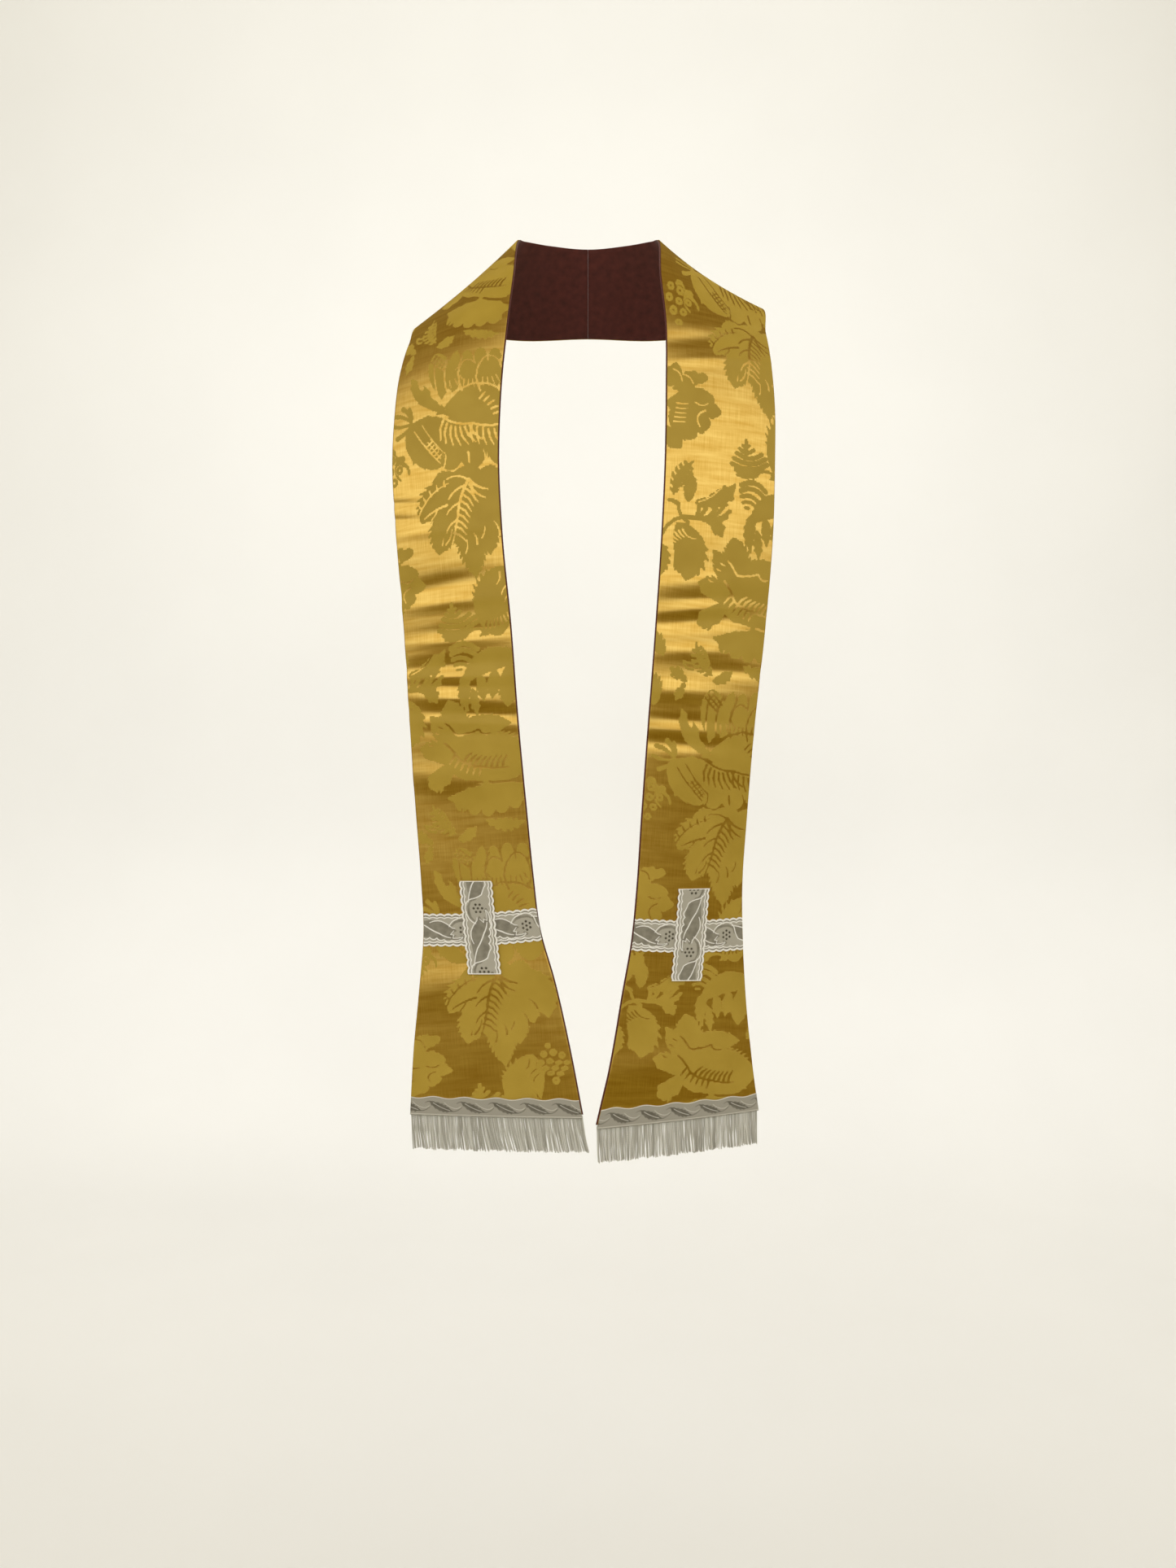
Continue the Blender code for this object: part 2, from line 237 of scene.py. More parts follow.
def laid_flat(inner, outer):
    """Both edges of a strip in one plane, with every side of its triangles as long as before."""
    flat_inner = [np.zeros(2)]
    flat_outer = [np.array([math.dist(inner[0], outer[0]), 0.0])]
    for k in range(len(inner) - 1):
        down, slant = math.dist(inner[k], inner[k + 1]), math.dist(outer[k], inner[k + 1])
        flat_inner.append(third_corner(flat_inner[k], flat_outer[k], down, slant))
        over, down = math.dist(inner[k + 1], outer[k + 1]), math.dist(outer[k], outer[k + 1])
        flat_outer.append(third_corner(flat_inner[k + 1], flat_outer[k], over, down))
    return np.array(flat_inner), np.array(flat_outer)


def flat_cut(band):
    """The edges on the cutting table: the first number runs across the front view to the right,
    the second one down the band."""
    along = np.linspace(0, band.length, round(band.length / FLAT_STEP) + 1)
    inner, outer = (band.smooth(along, np.full(along.shape, side)) for side in (0.0, 1.0))
    flat_inner, flat_outer = laid_flat(inner, outer)
    middle = (flat_inner + flat_outer) / 2
    start, stop = np.searchsorted(along, (LEVEL_FROM, LEVEL_TO))
    down = (middle[stop] - middle[start]) / math.dist(middle[stop], middle[start])
    right = np.array([down[1], -down[0]])
    if np.dot(flat_outer[start] - flat_inner[start], right) * band.sign < 0:
        right = -right
    turned = []
    for edge in (flat_inner - middle[start], flat_outer - middle[start]):
        turned.append(np.stack((edge @ right, edge @ down + along[start]), -1))
    across = turned[1] - turned[0]
    steps_down = np.diff((turned[0] + turned[1]) / 2, axis=0)
    crossed = across[:-1, 0] * steps_down[:, 1] - across[:-1, 1] * steps_down[:, 0]
    area = float(np.abs(crossed).sum()) * METRES**2
    every = np.vstack(turned)
    size = tuple(float(span) * METRES for span in every.max(axis=0) - every.min(axis=0))
    return FlatCut(along, turned[0], turned[1], size, area)


CUTS = {band.name: flat_cut(band) for band in BANDS}


def on_flat(band, along, across):
    """Where places of the band lie on the flat cut, in mm."""
    cut = CUTS[band.name]
    sides = []
    for edge in (cut.inner, cut.outer):
        sides.append(np.stack([np.interp(along, cut.along, edge[:, k]) for k in (0, 1)], -1))
    part = across[..., None]
    return sides[0] * (1 - part) + sides[1] * part


# Closed sheets of cloth are skins over rings: each ring is one section across the cloth
def section(front_columns, back_columns, low, high, round_steps=3):
    """Places round a sheet's section: share of its width, mm further in, and lift."""
    radius, middle = (high - low) / 2, (high + low) / 2
    places = [(share, radius, high) for share in np.linspace(0, 1, front_columns + 1)]
    for k in range(1, round_steps):
        turn = math.pi * k / round_steps
        places.append((1.0, radius + radius * math.sin(turn), middle + radius * math.cos(turn)))
    places += [(share, radius, low) for share in np.linspace(1, 0, back_columns + 1)]
    for k in range(round_steps - 1, 0, -1):
        turn = math.pi * k / round_steps
        places.append((0.0, radius - radius * math.sin(turn), middle + radius * math.cos(turn)))
    return np.array(places), radius


def band_rings(band, along, inner_bare, outer_bare, places, radius):
    """The along, across and lift of every point of a sheet that runs the length of the band."""
    width = band.width(along)[:, None]
    room = width - inner_bare - outer_bare - 2 * radius
    across = (inner_bare + places[:, 1] + places[:, 0] * room) / width
    along, lift = (np.broadcast_to(part, across.shape) for part in (along[:, None], places[:, 2]))
    return along, across, lift


def skin(name, points, looks):
    """A closed mesh over rings of points in mm, the first and last ring filled in."""
    rows, count = points.shape[:2]
    number = np.arange(rows * count).reshape(rows, count)
    after = np.roll(number, -1, axis=1)
    faces = np.stack((number[:-1], after[:-1], after[1:], number[1:]), -1).reshape(-1, 4).tolist()
    faces += [number[0].tolist(), number[-1, ::-1].tolist()]
    mesh = bpy.data.meshes.new(name)
    mesh.from_pydata((points.reshape(-1, 3) * METRES).tolist(), [], faces)
    data = bmesh.new()
    data.from_mesh(mesh)
    bmesh.ops.recalc_face_normals(data, faces=data.faces)
    data.to_mesh(mesh)
    data.free()
    mesh.shade_smooth()
    for look in looks:
        mesh.materials.append(look)
    made = bpy.data.objects.new(name, mesh)
    bpy.context.scene.collection.objects.link(made)
    return made


def lay_flat(piece, flat):
    """Keeps where each point lies on the flat cut, in metres, as the piece's own UV map."""
    mesh = piece.data
    corner = np.empty(len(mesh.loops), dtype=np.int32)
    mesh.loops.foreach_get("vertex_index", corner)
    places = mesh.uv_layers.new(name="flat_cut")
    places.data.foreach_set("uv", (flat.reshape(-1, 2)[corner] * METRES).ravel().astype(np.float32))


# Small tools for node trees: a socket given for another is linked, and anything else is its value
def join(tree, start, end):
    if isinstance(start, bpy.types.NodeSocket):
        tree.links.new(start, end)
    else:
        end.default_value = start


def node(tree, kind, *given, **settings):
    """given fills the first sockets in turn, and in_NAME or in_NUMBER fills one of its own."""
    made = tree.nodes.new(kind)
    for name, value in settings.items():
        if name.startswith("in_"):
            socket = name[3:].replace("_", " ")
            join(tree, value, made.inputs[int(socket) if socket.isdigit() else socket])
        else:
            setattr(made, name, value)
    for value, socket in zip(given, made.inputs):
        join(tree, value, socket)
    return made


def sums(tree, operation, *values):
    return node(tree, "ShaderNodeMath", *values, operation=operation).outputs[0]


def vectors(tree, operation, *values):
    found = node(tree, "ShaderNodeVectorMath", *values, operation=operation).outputs
    return found["Value"] if operation == "DOT_PRODUCT" else found[0]


def mixed(tree, share, low, high):
    return node(tree, "ShaderNodeMix", data_type="RGBA", in_0=share, in_6=low, in_7=high).outputs[2]


def between(tree, value, from_low, from_high, to_low=0.0, to_high=1.0, kind="LINEAR"):
    ranges = (from_low, from_high, to_low, to_high)
    return node(tree, "ShaderNodeMapRange", value, *ranges, interpolation_type=kind).outputs[0]


def noise(tree, place, scale, detail=2.0, roughness=0.5):
    settings = dict(in_Scale=scale, in_Detail=detail, in_Roughness=roughness)
    return node(tree, "ShaderNodeTexNoise", in_Vector=place, **settings).outputs[0]


def split(tree, vector):
    return node(tree, "ShaderNodeSeparateXYZ", vector).outputs


def bump(tree, shader, height, distance, strength):
    made = node(tree, "ShaderNodeBump", in_Strength=strength, in_Distance=distance, in_Height=height)
    join(tree, made.outputs[0], shader.inputs["Normal"])


def new_look(name, **constants):
    look = bpy.data.materials.new(name)
    look.use_nodes = True
    shader = look.node_tree.nodes["Principled BSDF"]
    for socket, value in constants.items():
        shader.inputs[socket.replace("_", " ")].default_value = value
    return look, look.node_tree, shader


def colours(*codes):
    """Screen colour codes as linear colours."""
    found = []
    for code in codes:
        parts = [int(code[k:k + 2], 16) / 255 for k in (0, 2, 4)]
        linear = [part / 12.92 if part <= 0.04045 else ((part + 0.055) / 1.055) ** 2.4 for part in parts]
        found.append((*linear, 1.0))
    return found


def group_with(name, tree_kind, inputs, outputs):
    """A tree with named inputs and outputs, and the two nodes that stand for them."""
    tree = bpy.data.node_groups.new(name, tree_kind)
    for label, kind, value in inputs:
        socket = tree.interface.new_socket(label, in_out="INPUT", socket_type="NodeSocket" + kind)
        if value is not None:
            socket.default_value = value
    for label, kind in outputs:
        tree.interface.new_socket(label, in_out="OUTPUT", socket_type="NodeSocket" + kind)
    return tree, node(tree, "NodeGroupInput"), node(tree, "NodeGroupOutput")


def plain_weave_group():
    """Threads over and under each other, from a place in mm: their height and a soft unevenness."""
    inputs = [("Place", "Vector", None), ("Pitch", "Float", 0.5)]
    outputs = [("Height", "Float"), ("Uneven", "Float")]
    tree, given, made = group_with("plain_weave", "ShaderNodeTree", inputs, outputs)
    waves = []
    for axis in split(tree, given.outputs["Place"])[:2]:
        turns = sums(tree, "DIVIDE", axis, given.outputs["Pitch"])
        waves.append(sums(tree, "SINE", sums(tree, "MULTIPLY", turns, math.pi)))
    join(tree, sums(tree, "MULTIPLY", *waves), made.inputs["Height"])
    join(tree, noise(tree, given.outputs["Place"], scale=0.12, detail=4.0), made.inputs["Uneven"])
    return tree


PLAIN_WEAVE = plain_weave_group()


def flat_place(tree):
    """The place on the flat cut, in mm."""
    source = node(tree, "ShaderNodeUVMap", uv_map="flat_cut")
    return vectors(tree, "MULTIPLY", source.outputs[0], (1 / METRES,) * 3)


# The sheet of lining: its two sides off the surface, and how far the face turns in past it
LINING_LOW = 0.0
LINING_HIGH = 1.0
FACE_TURNS = 1.0
LINING_ROWS = 330
LINING_COLUMNS = 20


def lining_look():
    look, tree, shader = new_look("dark_red_lining", Roughness=0.62, Sheen_Weight=0.25, Sheen_Roughness=0.4)
    weave = node(tree, "ShaderNodeGroup", node_tree=PLAIN_WEAVE, in_Place=flat_place(tree), in_Pitch=0.45)
    shade = between(tree, weave.outputs["Uneven"], 0.3, 0.7)
    join(tree, mixed(tree, shade, *colours("4A1616", "60231F")), shader.inputs["Base Color"])
    bump(tree, shader, weave.outputs["Height"], distance=0.00008, strength=0.5)
    return look


LINING = lining_look()
for band in BANDS:
    places, radius = section(LINING_COLUMNS, LINING_COLUMNS, LINING_LOW, LINING_HIGH)
    rows = np.linspace(0, band.length, LINING_ROWS)
    along, across, lift = band_rings(band, rows, 0.0, FACE_TURNS, places, radius)
    piece = skin("lining_skin_" + band.name, band.point(along, across, lift), [LINING])
    lay_flat(piece, on_flat(band, along, across))
    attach(piece, "root")
    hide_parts("lining_" + band.name)

# The damask face
# Gold silk damask: a bright satin ground with matt floral figures, one large repeat down each
# band. Its edges are folded under over the interlining. The figures are woven in small steps.
FACE_LOW = 1.3
FACE_HIGH = 2.5
LINING_SHOWS = 1.5
FACE_ROWS = 800
FACE_COLUMNS = 100
FACE_BACK_COLUMNS = 8
REPEAT = 525.0
EDGE_REACH = 4.0  # depths are kept to this many mm on the ground

# The figures of one repeat, in mm: x to the right of the vine leaf's stem, y down from it.
# A leaf runs from its foot to its tip, half wide at the share called widest. full is how much
# of that its body fills, and its teeth stick out past the body, as thick as finger.
Leaf = namedtuple("Leaf", "x y tip_x tip_y bend half widest teeth full finger")
Stroke = namedtuple("Stroke", "x y end_x end_y bend wide end_wide")
Comb = namedtuple("Comb", "x y end_x end_y bend teeth length lean wide")
Grape = namedtuple("Grape", "x y radius squash dot")

VINE_LEAF = [
    (0, -3, -4, 66, 0, 33, 0.45, 4, 0.97, 2.6), (-6, 4, -54, 39, 0.14, 17, 0.5, 8, 0.88, 2.2),
    (-12, 18, -37, 74, 0.06, 16, 0.5, 8, 0.88, 2.2), (-2, 30, 1, 102, 0, 17, 0.38, 9, 0.86, 2.2),
    (8, 18, 18, 79, -0.05, 13, 0.5, 8, 0.86, 2.2), (12, 12, 34, 57, -0.08, 13, 0.5, 7, 0.88, 2.2),
    (8, 0, 50, 52, -0.2, 18, 0.5, 8, 0.88, 2.2), (2, 0, 33, -6, 0, 9, 0.6, 5, 0.88, 2),
    (0, 0, -38, -2, 0, 10, 0.6, 5, 0.9, 2),
]
GRAPE_LEAF = [
    (22, 168, 30, 94, -0.1, 24, 0.5, 10, 0.93, 2.2), (2, 168, 10, 150, 0.2, 5, 0.5, 2, 0.8, 1.8),
]
BUD = [
    (-113, 78, -100, 54, 0.1, 9, 0.5, 2, 0.95, 2.6), (-106, 82, -80, 62, 0.1, 9, 0.55, 3, 0.92, 2.6),
    (-92, 76, -68, 66, 0, 6, 0.75, 2, 0.95, 2.4), (-118, 100, -64, 90, 0, 14, 0.6, 4, 0.95, 2.6),
    (-86, 94, -57, 104, 0.1, 9, 0.6, 3, 0.95, 2.6), (-112, 102, -70, 118, 0.1, 15, 0.6, 5, 0.9, 2.6),
    (-112, 108, -86, 134, 0, 13, 0.55, 4, 0.92, 2.6), (-122, 122, -100, 146, 0, 9, 0.6, 3, 0.95, 2.6),
]
SPRIGS = [
    (-104, 196, -85, 160, -0.1, 9, 0.5, 6, 0.5, 2), (-88, 202, -86, 172, 0, 7, 0.45, 4, 0.88, 2),
    (-79, 203, -38, 180, 0.14, 9.5, 0.55, 4, 0.82, 3),
    (-66, 217, -49, 235, -0.1, 7, 0.55, 3, 0.9, 2.6),
    (-98, 226, -84, 282, -0.14, 19, 0.5, 6, 0.84, 2.8),
    (-84, 230, -70, 268, -0.06, 9, 0.5, 4, 0.9, 2.4),
    (-122, 240, -112, 280, -0.1, 10, 0.5, 5, 0.84, 2.2),
    (-36, 376, -60, 344, -0.1, 9, 0.45, 6, 0.35, 1.8), (-34, 382, -14, 370, 0.1, 6, 0.5, 3, 0.85, 1.8),
    (-2, 364, 38, 368, 0.1, 7, 0.5, 5, 0.7, 2), (-62, 384, -82, 372, 0, 6, 0.6, 3, 0.7, 2),
    (-64, 386, -70, 404, 0, 5, 0.6, 3, 0.7, 1.8), (-92, 360, -116, 340, 0.1, 9, 0.5, 5, 0.75, 2),
    (-92, 410, -108, 380, 0.1, 11, 0.5, 6, 0.75, 2),
]
CLAW = [
    (42, 196, -19, 220, 0.2, 13, 0.42, 4, 0.97, 2.4), (-15, 208, -15, 247, 0.08, 7, 0.4, 4, 0.88, 2),
    (-9, 224, -5, 253, 0, 5, 0.45, 3, 0.88, 2), (0, 210, 3, 238, 0, 6, 0.45, 3, 0.88, 2),
    (16, 206, 12, 236, 0, 7, 0.45, 4, 0.88, 2), (32, 200, 28, 246, 0, 11, 0.5, 5, 0.9, 2.2),
]
ACANTHUS = [
    (-28, 290, -36, 235, 0.05, 16, 0.5, 7, 0.9, 2.2), (-34, 300, -57, 250, 0.1, 12, 0.5, 6, 0.88, 2.2),
    (-36, 302, -70, 284, 0.12, 11, 0.5, 5, 0.88, 2.2),
    (-38, 304, -62, 324, -0.1, 12, 0.5, 5, 0.86, 2.2),
    (-40, 276, 30, 264, -0.06, 13, 0.5, 6, 0.95, 2.2),
    (-46, 288, 50, 300, 0.05, 29, 0.5, 11, 0.96, 2.2), (-42, 338, 44, 330, 0.06, 13, 0.5, 2, 1, 2.6),
    (-24, 336, -29, 350, 0, 9, 0.5, 1, 1, 3), (-12, 338, -15, 355, 0, 9, 0.5, 1, 1, 3),
    (2, 338, 0, 358, 0, 9, 0.5, 1, 1, 3), (16, 337, 15, 356, 0, 9, 0.5, 1, 1, 3),
    (29, 335, 30, 351, 0, 9, 0.5, 1, 1, 3), (40, 262, 52, 236, 0.1, 9, 0.5, 5, 0.75, 2),
]
PEONY = [
    (-16, 461, -62, 413, -0.08, 8.5, 0.65, 2, 1, 2.4),
    (-26, 442, -34, 392, 0.06, 14, 0.58, 4, 0.96, 2.2), (-13, 414, -9, 391, 0, 6, 0.5, 1, 1, 2.4),
    (-14, 436, -8, 413, 0, 7, 0.5, 1, 1, 2.4), (2, 412, 3, 392, 0, 7, 0.5, 1, 1, 2.4),
    (17, 408, 18, 390, 0, 7, 0.5, 1, 1, 2.4), (33, 410, 34, 391, 0, 7, 0.5, 1, 1, 2.4),
    (6, 442, 7, 404, 0, 14, 0.55, 1, 1, 3), (27, 442, 28, 402, 0, 13, 0.55, 1, 1, 3),
    (46, 444, 48, 406, 0, 12, 0.55, 1, 1, 3), (-22, 452, 48, 450, 0, 19, 0.5, 2, 1, 3),
    (-26, 468, 56, 472, -0.04, 13, 0.5, 2, 1, 3), (-61, 466, -12, 484, -0.06, 13, 0.5, 2, 1, 3),
    (-60, 464, -28, 508, 0.1, 17, 0.45, 3, 0.97, 2.4), (-26, 466, -16, 511, 0, 18, 0.5, 3, 0.98, 2.4),
    (4, 466, 6, 512, 0, 18, 0.5, 3, 0.98, 2.4), (32, 466, 35, 510, -0.06, 17, 0.55, 3, 0.97, 2.4),
]
LEAVES = [Leaf(*row) for row in VINE_LEAF + GRAPE_LEAF + BUD + SPRIGS + CLAW + ACANTHUS + PEONY]

STEMS = [Stroke(*row) for row in (
    (-28, 131, -28, 142, 0, 1.9, 3), (-32, 137, -24, 136, 0.3, 1.6, 1.6),
    (-35, 141, -19, 140, 0.24, 2.1, 2.1), (-38, 146, -9, 143, 0.18, 2.4, 2.4),
    (-41, 152, -4, 147, 0.16, 2.5, 2.5), (-43, 158, -2, 153, 0.15, 2.6, 2.6),
    (-38, 164, -8, 160, 0.14, 2.4, 2.4), (-36, 169, -13, 167, 0.08, 1.8, 1.5),
    (-14, 167, 6, 162, -0.2, 1.2, 1.4), (-18, 167, -17, 175, 0, 1.2, 1.2),
    (-31, 179, -2, 182, -0.2, 2.7, 2.7), (-31, 185, -4, 188, -0.18, 2.6, 2.6),
    (-30, 191, -10, 194, -0.16, 2.3, 2.3), (-28, 197, -15, 198, -0.15, 1.9, 1.9),
    (-25, 202, -21, 202, 0, 1.6, 1.6), (-78, 216, -77, 201, 0.1, 1.8, 2.4),
    (-77, 217, -68, 204, 0.15, 1.8, 2.6), (-75, 219, -58, 206, 0.18, 1.9, 2.6),
    (-62, 216, -49, 203, 0.1, 1.8, 2.2), (-62, 219, -42, 208, 0.1, 2, 2.2),
    (-62, 222, -45, 215, 0, 2.2, 2), (-114, 240, -78, 219, -0.22, 1.6, 2.2),
    (-78, 219, -58, 225, -0.1, 2.2, 3), (-86, 224, -98, 206, -0.15, 1.8, 1.6),
    (-98, 206, -108, 202, 0.1, 2.4, 2), (-70, 364, -58, 372, 0.2, 1, 1.6),
    (-70, 364, -54, 362, 0.2, 1, 1.6), (-61, 462, -72, 444, 0.1, 1, 2.6),
    (-61, 462, -64, 446, 0.1, 0.9, 2), (-61, 462, -82, 450, 0.1, 1, 2.6),
    (-61, 462, -84, 460, -0.1, 1, 2.2), (-61, 462, -78, 474, -0.1, 1, 2.8),
    (-61, 462, -50, 470, 0.1, 1, 1.6), (-86, 488, -74, 496, 0.3, 5, 4),
    (-74, 500, -66, 512, -0.2, 2.4, 1), (-80, 500, -76, 516, 0.2, 2, 1),
)]
GRAPES = [Grape(*row) for row in (
    (47, 84, 3.4, 1, 0.8), (42, 93, 4, 1, 1), (52, 92, 4.2, 1, 1), (61, 96, 4, 1, 1),
    (38, 103, 4.2, 0.9, 1), (48, 102, 4.2, 1, 1), (57, 105, 4, 1, 1), (66, 106, 4, 1, 1),
    (43, 113, 4.4, 1, 1), (53, 114, 4.2, 0.9, 1), (63, 116, 4.2, 1, 1), (48, 123, 4.2, 1, 1),
    (58, 125, 4.2, 1, 1), (53, 134, 4.2, 0.9, 1), (-97, 492, 4.4, 1, 1.2), (-86, 495, 4.4, 0.9, 1.2),
    (-99, 503, 4.4, 1, 1.2), (-88, 506, 4.4, 1, 1.2), (-77, 506, 4.2, 1, 1.2),
    (-95, 516, 4.4, 0.9, 1.2), (-84, 517, 4.2, 1, 1.2), (-90, 528, 4.2, 1, 1.2),
)]
VEINS = [Stroke(*row) for row in (
    (0, -1, -13, 30, 0.05, 1.7, 1.3), (-13, 30, -22, 66, -0.03, 1.3, 0.7),
    (-25, 24, -51, 35, 0.05, 1.4, 0.8), (-36, 27, -43, 37, -0.1, 0.9, 0.6),
    (-59, 35, -22, 1, -0.12, 0.9, 0.7), (-4, 5, -23, 18, 0.1, 1.5, 0.8), (3, 6, 9, 24, 0.1, 1.3, 0.7),
    (0, 0, -24, -3, 0.15, 1.2, 0.7), (1, 0, 20, 11, 0.1, 1.9, 0.9), (1, 5, 17, 20, 0.1, 1.7, 0.8),
    (-11, 23, -26, 34, 0.1, 1.3, 0.7), (-16, 41, -27, 53, 0.1, 1.2, 0.7),
    (-29, 65, -21, 50, 0.1, 1.1, 0.6), (-33, 66, -31, 58, 0, 0.8, 0.5), (5, 68, 2, 56, 0.1, 1.1, 0.6),
    (29, 60, 24, 45, 0.1, 1.1, 0.6), (39, 42, 31, 30, 0.1, 1.1, 0.6), (-8, 76, -6, 62, 0.1, 0.9, 0.5),
    (10, 62, 14, 50, 0.1, 0.9, 0.5), (-50, 45, -42, 40, 0.1, 0.9, 0.5),
    (26, 98, 22, 112, -0.1, 1, 0.7), (34, 112, 26, 126, 0.1, 0.9, 0.6),
    (36, 122, 29, 134, 0.1, 0.9, 0.6), (-74, 104, -80, 122, 0.3, 1.1, 0.8),
    (-84, 96, -70, 96, 0.2, 0.9, 0.7), (-104, 60, -96, 74, -0.2, 0.9, 0.7),
    (-94, 66, -84, 76, -0.2, 0.9, 0.7), (-77, 202, -50, 180, 0.1, 0.8, 0.6),
    (-92, 232, -76, 240, 0.15, 0.8, 0.6), (-40, 259, -36, 262, 0, 0.9, 1),
    (-36, 262, -29, 272, 0, 1.1, 1.1), (-29, 272, -20, 272, 0.1, 1.1, 1.1),
    (-20, 272, -4, 268, 0.05, 1.1, 1), (-4, 268, 8, 273, 0.25, 1, 0.9),
    (-42, 280, -27, 299, -0.06, 1.2, 1.2), (-27, 299, -1, 308, 0.06, 1.3, 1.1),
    (-1, 308, 26, 310, 0.05, 1.1, 0.7), (-44, 327, -4, 324, -0.08, 2.2, 1.2),
    (4, 324, 42, 320, 0.08, 1.2, 1.4), (-30, 362, -28, 350, 0, 0.7, 0.7),
    (-51, 414, -49, 427, 0.1, 3.2, 2.2), (-37, 434, -33, 441, 0.1, 2.6, 2),
    (-34, 394, -30, 440, 0.05, 0.9, 0.9), (-19, 396, -18, 440, 0.1, 1, 1.1),
    (-2, 398, -3, 436, 0.12, 1, 1.1), (10, 393, 11, 406, 0, 0.9, 0.9),
    (17, 408, 17, 438, 0.14, 1, 1.1), (26, 393, 26, 406, 0, 0.9, 0.9),
    (38, 408, 37, 438, -0.14, 1, 1.1), (-6, 412, 12, 408, -0.4, 0.9, 0.9),
    (17, 409, 38, 407, -0.4, 0.9, 0.9), (-22, 448, 44, 440, -0.22, 1, 1),
    (-24, 462, 6, 470, 0.1, 1.2, 1.2), (6, 470, 50, 468, 0.1, 1.2, 1.2),
    (-58, 471, -30, 506, 0.03, 0.8, 0.8), (-49, 466, -25, 497, 0.03, 0.7, 0.7),
    (1, 498, 2, 508, 0, 1.2, 1), (-27, 512, -24, 496, 0.1, 0.9, 0.6),
    (18, 514, 17, 496, 0.1, 0.9, 0.6),
)]
COMBS = [Comb(*row) for row in (
    (-3, 9, -19, 54, 0.04, 8, -14, 0.5, 1.25), (-58, 32, -26, 4, -0.1, 6, -6, 0.3, 1.1),
    (8, 160, 34, 152, 0.1, 7, -8, 0.2, 1), (-108, 118, -104, 98, 0, 5, 12, 0.2, 1),
    (-112, 246, -92, 231, -0.06, 7, 9, 0.3, 1), (-22, 301, 19, 309, 0.06, 8, -11, 0.45, 1.5),
    (-32, 294, -4, 307, 0.06, 6, 10, 0, 1.3), (-60, 280, -48, 262, 0, 4, 6, 0.2, 0.8),
    (-17, 424, -5, 420, 0.1, 3, 9, 0.1, 0.8), (0, 424, 13, 424, 0.1, 4, 9, 0.1, 0.8),
    (20, 424, 34, 422, 0.1, 4, 9, 0.1, 0.8), (16, 446, 30, 462, -0.1, 5, -8, 0.2, 1.2),
    (-25, 465, 4, 472, 0.14, 7, 17, 0.55, 1.3), (6, 472, 48, 474, 0.1, 8, 15, 0.45, 1.25),
)]
# The peony's nets of crossed lines: their middle, half sizes and turn, and their pitch and line
Net = namedtuple("Net", "x y half_long half_wide degrees")
NETS = [Net(-29, 402, 11, 6, 40), Net(-36, 493, 12, 4.0, 52)]
NET_PITCH = 4.2
NET_LINE = 0.75
GRAPE_LINE = 0.9

# How full a leaf swells and how thin it ends, and how its teeth and a comb's bend and lean
STROKE_JOINTS = 5
LEAF_SWELL = 0.75
LEAF_END = 0.5
TOOTH_OUT = 0.75
TOOTH_ON = 0.35
TOOTH_LEAN = 0.75
TOOTH_TIP = 0.3
COMB_OUT = 0.5
COMB_ON = 0.25
COMB_TIP = 0.6


def bent(start, end, bend, count):
    """Places along a simple arc; bend is its height as a share of its length."""
    share = np.linspace(0, 1, count)[:, None]
    start, end = np.array(start, float), np.array(end, float)
    way = end - start
    return start + way * share + np.array([-way[1], way[0]]) * bend * 4 * share * (1 - share)


